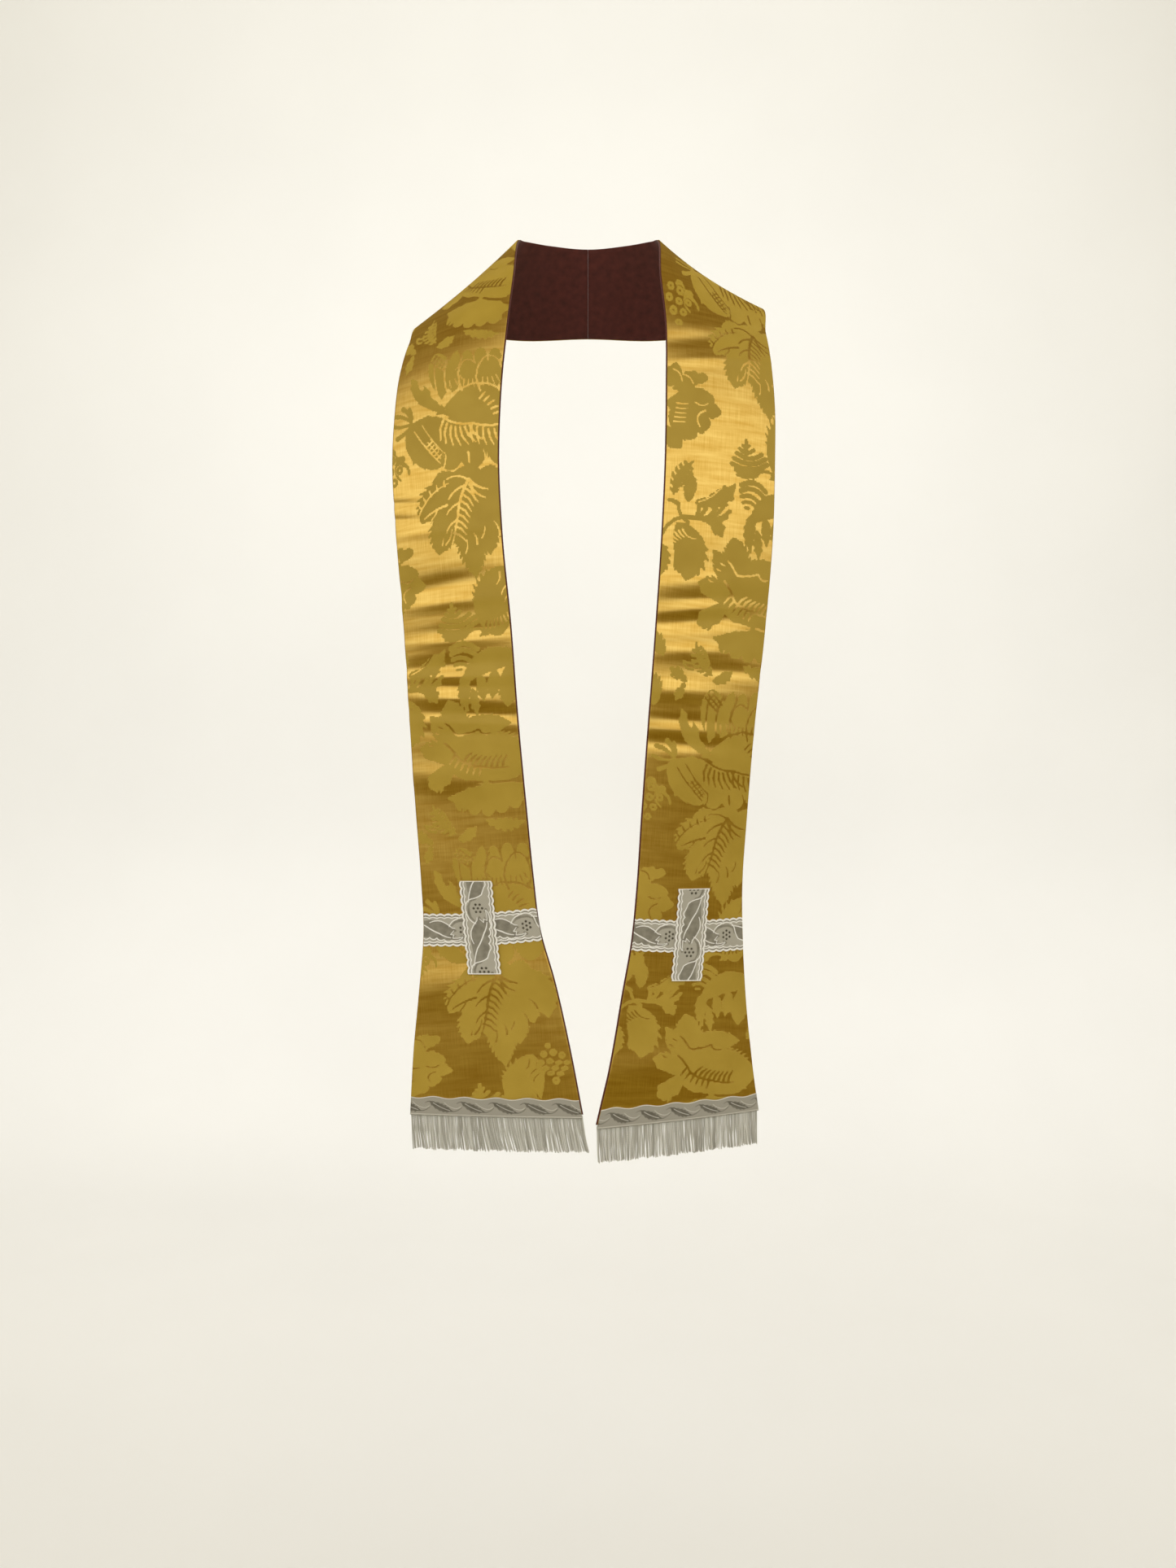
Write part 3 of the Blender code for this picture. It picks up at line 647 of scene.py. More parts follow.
class Figure:
    """How deep each place lies inside a drawn figure, in mm; below zero on the ground."""

    def __init__(self, place):
        self.shape = place.shape[:-1]
        self.order = np.argsort(place[..., 1], axis=None)
        self.place = place.reshape(-1, 2)[self.order]
        self.depth = np.full(len(self.place), -EDGE_REACH)

    def near(self, low, high):
        """The numbers of the places in a box; they are kept in order of their second number."""
        start, stop = np.searchsorted(self.place[:, 1], (low[1], high[1]))
        x = self.place[start:stop, 0]
        return start + np.flatnonzero((x > low[0]) & (x < high[0]))

    def depths(self):
        """The depths in the places' own order."""
        found = np.empty(len(self.depth))
        found[self.order] = np.clip(self.depth, -EDGE_REACH, EDGE_REACH)
        return found.reshape(self.shape)

    def put(self, near, inside, adds):
        if adds:
            self.depth[near] = np.maximum(self.depth[near], inside)
        else:
            self.depth[near] = np.minimum(self.depth[near], -inside)

    def limbs(self, joints, adds=True):
        """Round limbs: each joint is a place and a radius, and a limb runs between each two."""
        for (x, y, wide), (end_x, end_y, end_wide) in zip(joints, joints[1:]):
            margin = max(wide, end_wide) + EDGE_REACH
            low = (min(x, end_x) - margin, min(y, end_y) - margin)
            high = (max(x, end_x) + margin, max(y, end_y) + margin)
            near = self.near(low, high)
            if not len(near):
                continue
            offset = self.place[near] - (x, y)
            limb = np.array([end_x - x, end_y - y])
            share = np.clip(offset @ limb / max(limb @ limb, 1e-6), 0, 1)
            away = np.linalg.norm(offset - share[:, None] * limb, axis=1)
            self.put(near, wide + (end_wide - wide) * share - away, adds)

    def stroke(self, row, shift=0.0, adds=True):
        places = bent((row.x, row.y + shift), (row.end_x, row.end_y + shift), row.bend, STROKE_JOINTS)
        self.limbs(np.column_stack((places, np.linspace(row.wide, row.end_wide, STROKE_JOINTS))), adds)

    def cut(self, row, shift=0.0):
        self.stroke(row, shift, adds=False)

    def leaf(self, row, shift=0.0):
        count = 2 * row.teeth + 3
        spine = bent((row.x, row.y + shift), (row.tip_x, row.tip_y + shift), row.bend, count)
        share = np.linspace(0, 1, count)
        half = row.half * np.sin(math.pi * share ** (math.log(0.5) / math.log(row.widest))) ** LEAF_SWELL
        self.limbs(np.column_stack((spine, np.maximum(half * row.full, row.finger * LEAF_END))))
        way = np.gradient(spine, axis=0)
        way /= np.linalg.norm(way, axis=1, keepdims=True)
        for k in range(1, count - 2, 2):
            root = spine[k]
            for side in (-1, 1):
                out = side * np.array([-way[k][1], way[k][0]])
                middle = root + (out * TOOTH_OUT + way[k] * TOOTH_ON) * half[k]
                tip = root + (out + way[k] * TOOTH_LEAN) * half[k + 1]
                self.limbs([(*root, row.finger), (*middle, row.finger), (*tip, row.finger * TOOTH_TIP)])

    def comb(self, row, shift=0.0):
        places = bent((row.x, row.y + shift), (row.end_x, row.end_y + shift), row.bend, row.teeth)
        way = np.gradient(places, axis=0)
        way /= np.linalg.norm(way, axis=1, keepdims=True)
        for root, onward in zip(places, way):
            out = np.array([-onward[1], onward[0]]) * row.length
            along = onward * abs(row.length) * row.lean
            middle, tip = root + out * COMB_OUT + along * COMB_ON, root + out + along
            self.limbs([(*root, row.wide), (*middle, row.wide), (*tip, row.wide * COMB_TIP)], adds=False)

    def grape(self, row, shift=0.0):
        """A round berry with a thin line round it and a dot in its middle."""
        middle = np.array([row.x, row.y + shift])
        reach = row.radius / row.squash + EDGE_REACH
        near = self.near(middle - reach, middle + reach)
        away = np.linalg.norm((self.place[near] - middle) * (1.0, row.squash), axis=1)
        self.put(near, row.radius + GRAPE_LINE - away, adds=False)
        self.put(near, row.radius - away, adds=True)
        self.put(near, row.dot - away, adds=False)

    def net(self, row, shift=0.0):
        middle = np.array([row.x, row.y + shift])
        near = self.near(middle - row.half_long, middle + row.half_long)
        turn = math.radians(row.degrees)
        square = np.array([[math.cos(turn), -math.sin(turn)], [math.sin(turn), math.cos(turn)]])
        place = (self.place[near] - middle) @ square
        kept = (np.abs(place[:, 0]) < row.half_long) & (np.abs(place[:, 1]) < row.half_wide)
        near, place = near[kept], place[kept]
        offset = np.abs(place - np.round(place / NET_PITCH) * NET_PITCH).min(axis=1)
        self.put(near, NET_LINE - offset, adds=False)


# Where the repeat lies on each band: down its flat cut, down the repeat, its middle line, and
# how much further down the repeat a place to the right is, because the cloth skews over a shoulder
Knot = namedtuple("Knot", "down repeat middle skew", defaults=(0.0,))

KNOTS = {
    "left": [Knot(*row) for row in (
        (-60, -470, 46), (0, -418, 46), (150, -290, 46, -0.27), (223, -224, 46, -0.27),
        (243, -207, 43, -0.27), (288, -178, 31, -0.27), (305, -161, 27, -0.2), (350, -119, 27),
        (489, 0, 27), (597, 104, 27), (620, 130, 27), (769, 280, 20), (1021, 525, 15),
        (1117, 627, 15), (1134, 656, 15), (1220, 742, 15),
    )],
    "right": [Knot(*row) for row in (
        (-60, -310, 40), (150, -100, 42), (195, -59, 42), (235, -40, 40), (267, -23, 38), (303, 0, 38),
        (416, 104, 52), (443, 130, 53), (602, 280, 51), (724, 395, 37), (796, 461, 31), (858, 525, 36),
        (1044, 727, 38), (1073, 761, 38), (1136, 826, 39), (1230, 921, 39),
    )],
}


def on_repeat(band, flat):
    """The place in the repeat of each place on the flat cut."""
    knots = np.array(KNOTS[band.name], float)
    repeat, middle, skew = (np.interp(flat[..., 1], knots[:, 0], knots[:, k]) for k in (1, 2, 3))
    right = flat[..., 0] - middle
    return np.stack((right, repeat + skew * right), -1)


def woven_figures(band, flat):
    figure = Figure(on_repeat(band, flat))
    low, high = figure.place[:, 1].min(), figure.place[:, 1].max()
    for copy in range(math.floor(low / REPEAT) - 1, math.ceil(high / REPEAT) + 1):
        for table, draw in ((LEAVES, figure.leaf), (STEMS, figure.stroke), (VEINS, figure.cut),
                            (COMBS, figure.comb), (GRAPES, figure.grape), (NETS, figure.net)):
            for row in table:
                draw(row, copy * REPEAT)
    return figure.depths()


# The weave: its steps and threads in mm, how its fine puckers are stretched, and the height in
# its bump of puckers, figures, their ribs and the ground's threads
STEP_ACROSS = 1.1
STEP_DOWN = 1.3
SATIN_THREAD = 0.45
FLOAT_STRETCH = 0.03
FIGURE_RIB = 0.8
PUCKERS = (0.022, 0.17, 1.0)
PUCKER_HEIGHT = 2.2
FIGURE_HEIGHT = 1.6
RIB_HEIGHT = 0.25
THREAD_HEIGHT = 0.5
# The ground's two colours are mixed by thread tone along its floats and by painted highlight and shade on
# its puckers
GROUND_COLOURS = colours("CDA348", "EAC76E")
FIGURE_COLOURS = colours("AA8C28", "B89A36")
# Of the ground first, and then of the figures
ROUGHNESS = (0.30, 0.62)
METALLIC = (0.97, 0.12)


def marked(tree, name, output="Fac"):
    return node(tree, "ShaderNodeAttribute", attribute_name=name).outputs[output]


def face_look():
    look, tree, shader = new_look("gold_damask", Roughness=0.35, Metallic=0.4, Anisotropic=0.6)
    place = flat_place(tree)
    # A step of the weave belongs to the figure when its middle does
    size = (STEP_ACROSS, STEP_DOWN, 1.0)
    step = vectors(tree, "FLOOR", vectors(tree, "DIVIDE", place, size))
    middle = vectors(tree, "MULTIPLY", vectors(tree, "ADD", step, (0.5, 0.5, 0.0)), size)
    to_middle = vectors(tree, "SUBTRACT", middle, place)
    change = vectors(tree, "DOT_PRODUCT", marked(tree, "figure_slope", "Vector"), to_middle)
    inside = between(tree, sums(tree, "ADD", marked(tree, "figure"), change), -0.05, 0.05)
    # Long floats and puckers on the ground, fine ribs over the figures
    stretched = vectors(tree, "MULTIPLY", place, (1.0 / SATIN_THREAD, FLOAT_STRETCH, 1.0))
    floats = noise(tree, stretched, scale=1.0, detail=3.0, roughness=0.6)
    stretched = vectors(tree, "MULTIPLY", place, PUCKERS)
    puckers = noise(tree, stretched, scale=1.0, detail=3.0, roughness=0.55)
    ribs = sums(tree, "SINE", sums(tree, "MULTIPLY", split(tree, place)[1], math.tau / FIGURE_RIB))
    uneven = sums(tree, "ADD", noise(tree, place, scale=1.6), noise(tree, place, scale=0.02, detail=3.0))
    # The ground's colour follows its floats, a tone of the threads, and its puckers, whose lighter and
    # darker streaks are painted highlight and shade
    float_tone_and_pucker_light = between(tree, sums(tree, "ADD", floats, puckers), 0.75, 1.25)
    ground = mixed(tree, float_tone_and_pucker_light, *GROUND_COLOURS)
    figure = mixed(tree, between(tree, uneven, 0.75, 1.25), *FIGURE_COLOURS)
    join(tree, mixed(tree, inside, ground, figure), shader.inputs["Base Color"])
    join(tree, between(tree, inside, 0.0, 1.0, *ROUGHNESS), shader.inputs["Roughness"])
    join(tree, between(tree, inside, 0.0, 1.0, *METALLIC), shader.inputs["Metallic"])
    ribbed = sums(tree, "ADD", sums(tree, "MULTIPLY", ribs, RIB_HEIGHT), FIGURE_HEIGHT)
    threads = sums(tree, "MULTIPLY", floats, THREAD_HEIGHT)
    woven = sums(tree, "ADD", sums(tree, "MULTIPLY", inside, ribbed), threads)
    height = sums(tree, "ADD", woven, sums(tree, "MULTIPLY", puckers, PUCKER_HEIGHT))
    bump(tree, shader, height, distance=0.00006, strength=0.6)
    return look


def depth_slope(flat, depth):
    """How much the depth changes for each mm to the right and down the flat cut."""
    down_step, over_step = np.gradient(flat, axis=0), np.gradient(flat, axis=1)
    down_change, over_change = np.gradient(depth, axis=0), np.gradient(depth, axis=1)
    cross = over_step[..., 0] * down_step[..., 1] - over_step[..., 1] * down_step[..., 0]
    right = (over_change * down_step[..., 1] - down_change * over_step[..., 1]) / cross
    down = (down_change * over_step[..., 0] - over_change * down_step[..., 0]) / cross
    return np.clip(np.stack((right, down, np.zeros(depth.shape)), -1), -1, 1)


def mark(piece, name, values, kind="FLOAT"):
    """Keeps a number or a vector at each point of a mesh, for its material."""
    store = piece.data.attributes.new(name, kind, "POINT")
    field = "value" if kind == "FLOAT" else "vector"
    store.data.foreach_set(field, values.ravel().astype(np.float32))


DAMASK = face_look()
for band in BANDS:
    places, radius = section(FACE_COLUMNS, FACE_BACK_COLUMNS, FACE_LOW, FACE_HIGH)
    rows = np.linspace(0, band.length, FACE_ROWS)
    along, across, lift = band_rings(band, rows, LINING_SHOWS, 0.0, places, radius)
    flat = on_flat(band, along, across)
    piece = skin("face_skin_" + band.name, band.point(along, across, lift), [DAMASK])
    lay_flat(piece, flat)
    front = slice(0, FACE_COLUMNS + 1)
    depth = woven_figures(band, flat)
    slope = np.zeros((*depth.shape, 3))
    slope[:, front] = depth_slope(flat[:, front], depth[:, front])
    mark(piece, "figure", depth)
    mark(piece, "figure_slope", slope, "FLOAT_VECTOR")
    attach(piece, "root")
    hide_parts("face_" + band.name)

# The crosses
# On each band a level strip of ivory lace runs from edge to edge, and an upright one is sewn
# over it. The lace has corded outlines and scalloped edges over a fine net, leaves and eyelets.
LACE_WIDTH = 36.0
LACE_REPEAT = 68.0
SCALLOPS_IN_REPEAT = 8
LACE_SCALLOP = LACE_REPEAT / SCALLOPS_IN_REPEAT
LACE_SCALLOP_DEPTH = 1.6
PICOTS_IN_SCALLOP = 4
PICOT_DEPTH = 0.25
CROSS_ABOVE_END = 197.0
CROSS_HEIGHT = 100.0
TURN_EDGE = 1.0
BAR_SAG = 2.0
TRIM_STARTS = 0.010
BAR_STOPS = 0.992
BAR_LOW = 2.8
UPRIGHT_LOW = 4.1
TRIM_WALL = 1.0
TRIM_STEP = 0.5
UNDERSIDE_POINTS = 7

# climbs is the rise of the level strip from left to right, turn which way up the upright one
# is, and the last two are where the first eyelets lie on each, in mm.
Cross = namedtuple("Cross", "across leans climbs turn level_start upright_start")
CROSSES = {
    "left": Cross(0.51, 0.0, 6.0, 1, 44.6, 20.6),
    "right": Cross(0.50, 4.0, 0.0, -1, 40.0, 19.1),
}

# One repeat of the lace, in mm: x across the strip, y along it from the middle of the eyelets
LACE_CORDS = [Stroke(*row) for row in (
    (-9.5, 7, -4.5, 25, 0.04, 0.5, 0.65), (-4.5, 25, 4, 41, -0.03, 0.65, 0.75),
    (4, 41, 8.4, 53, -0.06, 0.75, 0.45), (-7.9, 30, -9.6, 43, 0.08, 0.45, 0.6),
    (-9.6, 43, -2, 55, 0.05, 0.6, 0.5), (-2, 55, -1.6, 58, 0, 0.5, 0.4),
    (8, 22, 8.2, 30, -0.25, 0.55, 0.6), (8.2, 30, 8.7, 37.8, -0.25, 0.6, 0.6),
    (8.7, 37.8, 10.4, 45.6, -0.22, 0.6, 0.6), (10.4, 45.6, 11.2, 54, -0.2, 0.6, 0.6),
    (11.2, 54, 8.5, 66, -0.12, 0.55, 0.45), (-3.6, -16.5, -11.5, -8.2, 0.12, 0.5, 0.6),
    (-11.5, -8.2, -11.5, 6.5, 0.14, 0.6, 0.6), (-11.5, 6.5, -4, 10.5, 0.1, 0.6, 0.55),
    (-4, 10.5, 5, 14.6, -0.05, 0.55, 0.6), (5, 14.6, 8, 22, 0, 0.6, 0.55),
    (0.8, -11.4, 4.8, -15.2, 0, 0.4, 0.4), (4.8, -15.2, 5.4, -11.6, 0, 0.4, 0.4),
    (5.4, -11.6, 8.8, -13, 0, 0.4, 0.4), (8.8, -13, 7.6, -2, -0.06, 0.4, 0.4),
)]
LACE_LEAF = [
    (-8.0, 8.0, 1.8), (-4.5, 13.0, 4.8), (-1.2, 20.0, 8.4), (-1.0, 30.0, 9.6), (0.5, 40.0, 10.0),
    (2.5, 48.0, 8.6), (5.0, 55.0, 6.4), (7.5, 61.0, 3.2), (8.5, 67.0, 1.4),
]
LACE_CRESCENT = [
    (-3.2, -15.0, 0.5), (-8.3, -10.0, 1.2), (-9.9, -4.6, 1.4), (-10.0, 2.0, 1.3), (-7.6, 7.3, 0.8),
]
LACE_LEAF_CUTS = [Stroke(3.6, -8, 4.8, -15, 0, 2.4, 0.3), Stroke(6.6, -6, 8.8, -12.8, 0, 1.8, 0.3)]
EYELETS_ROUND = 6
EYELETS_APART = 4.5
EYELET_RADIUS = 1.3
# Along each edge, on either side: how far off the middle, how bent and how thick its cords are
EDGE_CORDS = [(15.6, 0.165, 1.0), (12.4, 0.15, 0.6)]
EDGE_EYE = 14.0
EDGE_EYE_HALF = 2.5
EDGE_EYE_BEND = 0.1


def draw_lace(cord, leaf, hole, start):
    """One repeat of the lace: its cords, dark leaves and holes."""
    for row in LACE_CORDS:
        cord.stroke(row, start)
    for limb in (LACE_LEAF, LACE_CRESCENT):
        leaf.limbs([(x, y + start, radius) for x, y, radius in limb])
    for row in LACE_LEAF_CUTS:
        leaf.cut(row, start)
    for k in range(EYELETS_ROUND + 1):
        turn, away = math.tau * k / EYELETS_ROUND, EYELETS_APART if k < EYELETS_ROUND else 0.0
        joint = (away * math.cos(turn), away * math.sin(turn) + start, EYELET_RADIUS)
        hole.limbs([joint, joint])
    half = LACE_SCALLOP / 2
    for k in range(SCALLOPS_IN_REPEAT):
        middle = start + k * LACE_SCALLOP
        for side in (-1, 1):
            for away, bend, wide in EDGE_CORDS:
                x = side * away
                cord.stroke(Stroke(x, middle - half, x, middle + half, -side * bend, wide, wide))
            x, y, end = side * EDGE_EYE, middle - EDGE_EYE_HALF, middle + EDGE_EYE_HALF
            leaf.stroke(Stroke(x, y, x, end, -side * EDGE_EYE_BEND, 0.6, 0.9))


def drawn(place, repeat, draw):
    """How deep each place of a lace lies in its cords, its dark leaves and its holes."""
    figures = [Figure(place) for k in range(3)]
    low, high = place[..., 1].min(), place[..., 1].max()
    for copy in range(math.floor(low / repeat) - 1, math.ceil(high / repeat) + 2):
        draw(*figures, copy * repeat)
    return [figure.depths() for figure in figures]


# How far up its wall each part of a lace reaches
NET_TOP = 0.60
LEAF_TOP = 0.45
HOLE_TOP = 0.10
CORD_TOP = 1.0
SOFT_EDGE = 0.9


def relief(cord, leaf, hole):
    """The share of the wall at each place."""
    height = np.full(cord.shape, NET_TOP)
    for depth, top in ((leaf, LEAF_TOP), (hole, HOLE_TOP), (cord, CORD_TOP)):
        share = np.clip(depth / SOFT_EDGE + 0.5, 0, 1)
        height += (top - height) * share * share * (3 - 2 * share)
    return height


def trim_section(width):
    """Places round a narrow strip's section: its half widths from the middle, and top or underside."""
    top = [(place, 1.0) for place in np.linspace(-1, 1, round(width / TRIM_STEP) + 1)]
    under = [(place, 0.0) for place in np.linspace(1, -1, UNDERSIDE_POINTS)]
    return np.array(top + under)


def from_edge_to_edge(band, width):
    """Steps along a strip that crosses the band: their share of its width, and mm to the right."""
    share = np.linspace(0, 1, round(width / TRIM_STEP) + 1)[:, None]
    return share, width * (share if band.sign > 0 else 1 - share)


def scallop(distance):
    """How far a scalloped edge with picots stands back from its widest place."""
    lobe = 1 - np.abs(np.cos(math.pi * distance / LACE_SCALLOP))
    picot = np.abs(np.sin(math.pi * PICOTS_IN_SCALLOP * distance / LACE_SCALLOP))
    return LACE_SCALLOP_DEPTH * lobe + PICOT_DEPTH * (1 - picot)


# The finer bump on top: heights of net and cords beside a strand's 1
NET_HEIGHT = 0.6
CORD_HEIGHT = 3.0


def lace_look(name, net, leaf, cord, hole):
    look, tree, shader = new_look(name, Roughness=0.72, Sheen_Weight=0.15)
    place = flat_place(tree)
    weave = node(tree, "ShaderNodeGroup", node_tree=PLAIN_WEAVE, in_Place=place, in_Pitch=0.9)
    # The net is painted darker where its weave lies low: painted shade in the openings between its threads
    holes = between(tree, weave.outputs["Height"], -0.5, 0.9)
    cloud = between(tree, weave.outputs["Uneven"], 0.35, 0.65)
    strands = between(tree, noise(tree, place, scale=2.2), 0.35, 0.65)
    shares = []
    for label in ("leaf", "hole", "cord"):
        uneven = sums(tree, "MULTIPLY_ADD", strands, 0.3, marked(tree, label))
        shares.append(between(tree, uneven, -0.1, 0.4))
    paint = mixed(tree, holes, *net)
    # The hole colours are painted shade in the eyelets
    for share, pair, grain in zip(shares, (leaf, hole, cord), (cloud, cloud, strands)):
        paint = mixed(tree, share, paint, mixed(tree, grain, *pair))
    join(tree, paint, shader.inputs["Base Color"])
    netting = sums(tree, "MULTIPLY", weave.outputs["Height"], NET_HEIGHT)
    high = sums(tree, "MULTIPLY_ADD", shares[2], CORD_HEIGHT, netting)
    bump(tree, shader, sums(tree, "ADD", high, strands), distance=0.0001, strength=0.7)
    return look


# The darker net colour and the dark hole colours are painted shade in the net's openings and in the eyelets
LACE = lace_look("ivory_lace", colours("9C978A", "C6C2B5"), colours("7B7669", "928E80"),
                 colours("E8E4DA", "FFFFFF"), colours("443F32", "565143"))


def sew_trim(name, look, points, place, marks, node_name):
    """Finishes a strip of lace: its own flat map, what is drawn on it, and what it lies on."""
    piece = skin(name, points, [look])
    lay_flat(piece, place)
    for label, depth in zip(("cord", "leaf", "hole"), marks):
        mark(piece, label, depth)
    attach(piece, "root")
    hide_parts(node_name)


def level_strip(band, cross, middle):
    """The lace from edge to edge, which sags a little."""
    width = float(band.width(middle))
    places = trim_section(LACE_WIDTH)
    share, rightwards = from_edge_to_edge(band, width)
    from_eyelets = np.broadcast_to(rightwards - cross.level_start, (len(share), len(places)))
    down = (LACE_WIDTH / 2 - scallop(rightwards - cross.level_start)) * places[:, 0]
    place = np.stack((down, from_eyelets), -1)
    marks = drawn(place, LACE_REPEAT, draw_lace)
    hang = BAR_SAG * np.sin(math.pi * share) + cross.climbs * (share - 0.5)
    across = np.broadcast_to(TRIM_STARTS + (BAR_STOPS - TRIM_STARTS) * share, down.shape)
    lift = BAR_LOW + TRIM_WALL * places[:, 1] * relief(*marks)
    sew_trim("level_lace_" + band.name, LACE, band.point(middle + hang + down, across, lift), place, marks,
             "cross_bar_" + band.name)


def upright_strip(band, cross, middle):
    """The lace over it, with both ends turned under."""
    places = trim_section(LACE_WIDTH)
    down = np.linspace(-CROSS_HEIGHT / 2, CROSS_HEIGHT / 2, round(CROSS_HEIGHT / TRIM_STEP) + 1)[:, None]
    from_eyelets = np.broadcast_to(-cross.turn * down - cross.upright_start, (len(down), len(places)))
    outwards = (LACE_WIDTH / 2 - scallop(from_eyelets)) * places[:, 0]
    place = np.stack((outwards * band.sign * cross.turn, from_eyelets), -1)
    marks = drawn(place, LACE_REPEAT, draw_lace)
    turned_under = np.abs(down) - CROSS_HEIGHT / 2 + TURN_EDGE
    marks[0] = np.maximum(marks[0], np.broadcast_to(turned_under, marks[0].shape))
    across = cross.across + (outwards - cross.leans * down / CROSS_HEIGHT) / band.width(middle + down)
    lift = UPRIGHT_LOW + TRIM_WALL * places[:, 1] * relief(*marks)
    sew_trim("upright_lace_" + band.name, LACE, band.point(middle + down, across, lift), place, marks,
             "cross_upright_" + band.name)


for band in BANDS:
    for sew_strip in (level_strip, upright_strip):
        sew_strip(band, CROSSES[band.name], band.length - CROSS_ABOVE_END)

# The braid along the ends
# A silver grey braid with slanted leaves on curved stems, a waved upper edge and a straight
# lower one. It is sewn over the end of the face and hides the head of the fringe.
BRAID_WIDTH = 19.5
BRAID_BELOW_END = 3.6
BRAID_REPEAT = 34.5
BRAID_WAVE_DEPTH = 1.1
BRAID_CREST = 3.0
BRAID_STOPS = 0.998
BRAID_STARTS = {"left": 22.0, "right": 12.0}

BRAID_LEAF = Leaf(-5, -1, 4.8, 24, -0.04, 4.4, 0.5, 5, 0.78, 0.8)
BRAID_STEMS = [Stroke(4.2, 18, 0.6, 34, -0.16, 0.5, 0.3), Stroke(-3.4, -6, -3.4, 4, 0.2, 0.3, 0.55)]
BRAID_CORDS = [Stroke(*row) for row in (
    (-3.6, 3, 4.2, 21, -0.04, 0.3, 0.26), (-4.2, 15, 1.6, 26, -0.08, 0.26, 0.3),
    (1.6, 26, -0.4, 33, -0.12, 0.3, 0.24),
)]
BRAID_LOWER_CORD = 8.6
BRAID_UPPER_CORD = 0.9


def draw_braid(cord, leaf, hole, start):
    """One repeat of the braid, which has no holes."""
    leaf.leaf(BRAID_LEAF, start)
    for row in BRAID_STEMS:
        leaf.stroke(row, start)
    for row in BRAID_CORDS:
        cord.stroke(row, start)
    end = start + BRAID_REPEAT
    cord.stroke(Stroke(BRAID_LOWER_CORD, start, BRAID_LOWER_CORD, end, 0.0, 0.35, 0.35))


# The darker net colour is painted shade in the openings of the braid's net
BRAID = lace_look("silver_braid", colours("918D81", "AFABA0"), colours("605C51", "716D62"),
                  colours("CFCBC0", "E6E3DA"), colours("605C51", "716D62"))

for band in BANDS:
    places = trim_section(BRAID_WIDTH)
    width = float(band.width(band.length))
    share, rightwards = from_edge_to_edge(band, width)
    from_leaf = np.broadcast_to(rightwards - BRAID_STARTS[band.name], (len(share), len(places)))
    wave = BRAID_WAVE_DEPTH * np.cos(math.tau * (from_leaf - BRAID_CREST) / BRAID_REPEAT)
    up = (1 - places[:, 0]) / 2
    place = np.stack((BRAID_WIDTH / 2 - (BRAID_WIDTH + wave) * up, from_leaf), -1)
    marks = drawn(place, BRAID_REPEAT, draw_braid)
    marks[0] = np.maximum(marks[0], BRAID_UPPER_CORD - (BRAID_WIDTH + wave) * (1 - up))
    along = band.length + BRAID_BELOW_END - (BRAID_WIDTH + wave) * up
    across = np.broadcast_to(TRIM_STARTS + (BRAID_STOPS - TRIM_STARTS) * share, along.shape)
    lift = BAR_LOW + TRIM_WALL * places[:, 1] * relief(*marks)
    sew_trim("braid_" + band.name + "_skin", BRAID, band.point(along, across, lift), place, marks,
             "braid_" + band.name)

# The fringes
# Twisted silver grey threads hang side by side from a woven heading under the end of the band.
# They are looped through it close together, sway a little and end unevenly.
FRINGE_LENGTH = 39.0
GAP = 0.3
HEADING_MARGIN = 0.006
THREADS = 230
THREAD_STEPS = 11
THREAD_SIDES = 4
THREAD_RADIUS = 0.60
THREAD_LAY = 1.9
THREAD_SEED = 7
# How much of its tone is painted shade in the grooves and painted highlight on the plies of its twist, and
# how much comes from the thread itself
PLY_SHADE_TONE = 0.55
THREAD_TONE = 0.45
# Roots lie under the end of the band, in two rows, and threads bend most near their ends
ROOT_DROP = 0.6
ROOT_LIFTS = (0.9, 1.4)
SWAY_BEND = 1.4
SWING_BEND = 1.5

Wave = namedtuple("Wave", "size rate shift")
SWAY = [Wave(1.0, 0.21, 0), Wave(0.9, 0.061, 1), Wave(0.45, 1.4, 2), Wave(0.5, 2.3, 0)]
SWING = [Wave(1.3, 0.12, 0), Wave(0.8, 1.7, 0)]
LENGTHS = [Wave(1.0, 1.9, 0), Wave(0.7, 0.47, 1)]
CURL = [Wave(0.35, 1.1, 0), Wave(0.25, 2.7, 1)]
# How far the ends hang to the right, at the inner edge, the middle and the outer edge
FRINGE_LEANS = {"left": (6.0, 7.5, 2.0), "right": (0.5, 1.5, 0.5)}


def wave_at(waves, number):
    return sum(wave.size * math.sin(wave.rate * number + wave.shift) for wave in waves)


